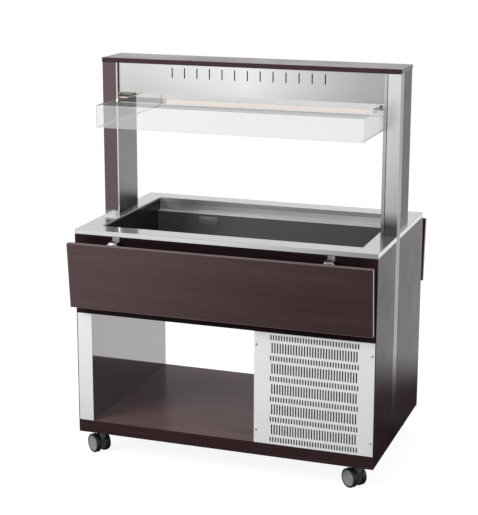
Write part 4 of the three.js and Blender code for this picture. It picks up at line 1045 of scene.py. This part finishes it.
class SALAD_OT_stage(bpy.types.Operator):
    """Build the plain studio: floor, backdrop light, lamps and the camera"""
    bl_idname = "salad_bar.stage"
    bl_label = "Studio"

    def execute(self, context):
        self.world(context)
        self.floor()
        self.lamps()
        self.camera(context, setting(context, "studio"))
        return {"FINISHED"}

    def world(self, context):
        world = bpy.data.worlds.new("Studio")
        context.scene.world = world
        world.use_nodes = True
        tree = world.node_tree
        tree.nodes.clear()
        ray = node(tree, "ShaderNodeLightPath", (-600, 0)).outputs
        seen = maths(tree, "MAXIMUM", ray["Is Camera Ray"], ray["Is Glossy Ray"], place=(-400, 0))
        clear = maths(tree, "MAXIMUM", seen, ray["Is Transmission Ray"], place=(-200, 0))
        soft = wired(tree, "ShaderNodeBackground", (0, 150), {"Color": (0.93, 0.96, 1.0, 1), "Strength": 0.55})
        white = wired(tree, "ShaderNodeBackground", (0, 0), {"Color": (1, 1, 1, 1), "Strength": 1.0})
        mix = wired(tree, "ShaderNodeMixShader", (250, 50), {0: clear, 1: soft, 2: white})
        wired(tree, "ShaderNodeOutputWorld", (450, 50), {0: mix})

    def floor(self):
        work = bmesh.new()
        bmesh.ops.create_grid(work, x_segments=1, y_segments=1, size=30)
        made = put("studio_floor", to_mesh("studio_floor", work))
        material = bpy.data.materials.new("Studio floor")
        material.use_nodes = True
        made.data.materials.append(material)
        self.floor_shader(material.node_tree)

    def floor_shader(self, tree):
        """White to the camera and in the distance; to glossy rays it is painted dark near the cabinet and towards its
        right, painted shade for the cabinet's reflections.
        """
        tree.nodes.clear()
        ray = node(tree, "ShaderNodeLightPath", (-900, 300)).outputs
        seen = maths(tree, "MAXIMUM", ray["Is Camera Ray"], ray["Is Transmission Ray"], place=(-700, 300))
        plain = wired(tree, "ShaderNodeBsdfDiffuse", (-100, 150), {"Color": (0.6, 0.6, 0.6, 1)})
        shade = wired(tree, "ShaderNodeBsdfDiffuse", (-300, 0), {"Color": (0.2, 0.2, 0.2, 1)})
        glow = wired(tree, "ShaderNodeEmission", (-300, -120), {"Strength": 0.90})
        bright = wired(tree, "ShaderNodeAddShader", (-100, 0), {0: shade, 1: glow})
        place = node(tree, "ShaderNodeTexCoord", (-1500, -300)).outputs["Object"]
        reach = wired(tree, "ShaderNodeVectorMath", (-1300, -300), {0: place}, operation="LENGTH")
        x, y, _ = wired(tree, "ShaderNodeSeparateXYZ", (-1300, -500), {0: place}).outputs
        # Painted shade for glossy rays: dark near the cabinet in front and towards the right, and behind it only
        # towards the right.
        far = self.ramp(tree, reach.outputs["Value"], (1.05, 1.65), (0.05, 1.0))
        side = self.ramp(tree, x, (-1.6, 0.1), (1.0, 0.2))
        rear = self.ramp(tree, y, (0.25, 0.45), (0.0, 1.0))
        beside = self.ramp(tree, x, (0.35, 0.6), (1.0, 0.0))
        behind = maths(tree, "MAXIMUM", beside, far, place=(-800, -550))
        back = maths(tree, "MULTIPLY", rear, behind, place=(-650, -550))
        front = maths(tree, "MULTIPLY", far, side, place=(-700, -400))
        both = maths(tree, "MAXIMUM", front, back, place=(-500, -350))
        mirror = wired(tree, "ShaderNodeEmission", (-100, -250), {"Strength": both})
        first = wired(tree, "ShaderNodeMixShader", (100, 50), {0: seen, 1: plain, 2: bright})
        second = wired(tree, "ShaderNodeMixShader", (300, 0), {0: ray["Is Glossy Ray"], 1: first, 2: mirror})
        wired(tree, "ShaderNodeOutputMaterial", (500, 0), {0: second})

    def ramp(self, tree, value, reach, strength):
        """Runs softly from one strength to the other as the value goes along its reach."""
        sockets = {"Value": value, "From Min": reach[0], "From Max": reach[1],
                   "To Min": strength[0], "To Max": strength[1]}
        return wired(tree, "ShaderNodeMapRange", (-1000, -300), sockets, interpolation_type="SMOOTHSTEP").outputs[0]

    def lamps(self):
        for name, place, aim, size, power in (
            ("key_softbox", (-2.6, -3.0, 2.6), (-0.3, 0, 0.8), 1.8, 135),
            ("fill_softbox", (3.6, -2.2, 2.8), (0, 0, 0.8), 2.4, 45),
            ("top_softbox", (-0.4, 0.6, 4.2), (0, 0, 0.8), 2.6, 70),
        ):
            light = bpy.data.lights.new(name, "AREA")
            light.shape = "SQUARE"
            light.size = size
            light.energy = power
            made = put(name, light)
            made.matrix_world = facing(place, Vector(place) - Vector(aim))

    def camera(self, context, settings):
        data = bpy.data.cameras.new("photo_camera")
        data.lens = settings.lens
        data.sensor_width = 36
        data.sensor_fit = "AUTO"
        data.shift_y = settings.shift
        data.clip_end = 60
        made = put("photo_camera", data)
        level = math.cos(settings.pitch)
        ahead = Vector((math.sin(settings.yaw) * level, math.cos(settings.yaw) * level, math.sin(settings.pitch)))
        made.matrix_world = facing(settings.position, -ahead) @ Matrix.Rotation(settings.roll, 4, "Z")
        context.scene.camera = made


STEPS = (
    SALAD_OT_laminate, SALAD_OT_steel, SALAD_OT_well_fittings, SALAD_OT_hinges, SALAD_OT_guard, SALAD_OT_lamp,
    SALAD_OT_casters, SALAD_OT_machine, SALAD_OT_controls, SALAD_OT_screws, SALAD_OT_stage,
)


class SALAD_PT_panel(bpy.types.Panel):
    """Steps and settings of the salad bar's looks"""
    bl_label = "Salad bar"
    bl_idname = "SALAD_PT_panel"
    bl_space_type = "VIEW_3D"
    bl_region_type = "UI"
    bl_category = "Salad bar"

    def draw(self, context):
        for step in STEPS:
            self.layout.operator(step.bl_idname)
        for name in SETTINGS:
            group = setting(context, name)
            box = self.layout.box()
            box.label(text=name.capitalize())
            for key in group.bl_rna.properties.keys():
                if key not in {"rna_type", "name"}:
                    box.prop(group, key)


def register():
    for kind in (*SETTINGS.values(), *STEPS, SALAD_PT_panel):
        bpy.utils.register_class(kind)
    for name, kind in SETTINGS.items():
        setattr(bpy.types.Scene, "salad_bar_" + name, bpy.props.PointerProperty(type=kind))


def unregister():
    for name in SETTINGS:
        delattr(bpy.types.Scene, "salad_bar_" + name)
    for kind in reversed((*SETTINGS.values(), *STEPS, SALAD_PT_panel)):
        bpy.utils.unregister_class(kind)


def main():
    register()
    bpy.context.scene.view_settings.view_transform = "Standard"
    for step in STEPS:
        group, name = step.bl_idname.split(".")
        getattr(getattr(bpy.ops, group), name)()


if __name__ == "__main__":
    main()
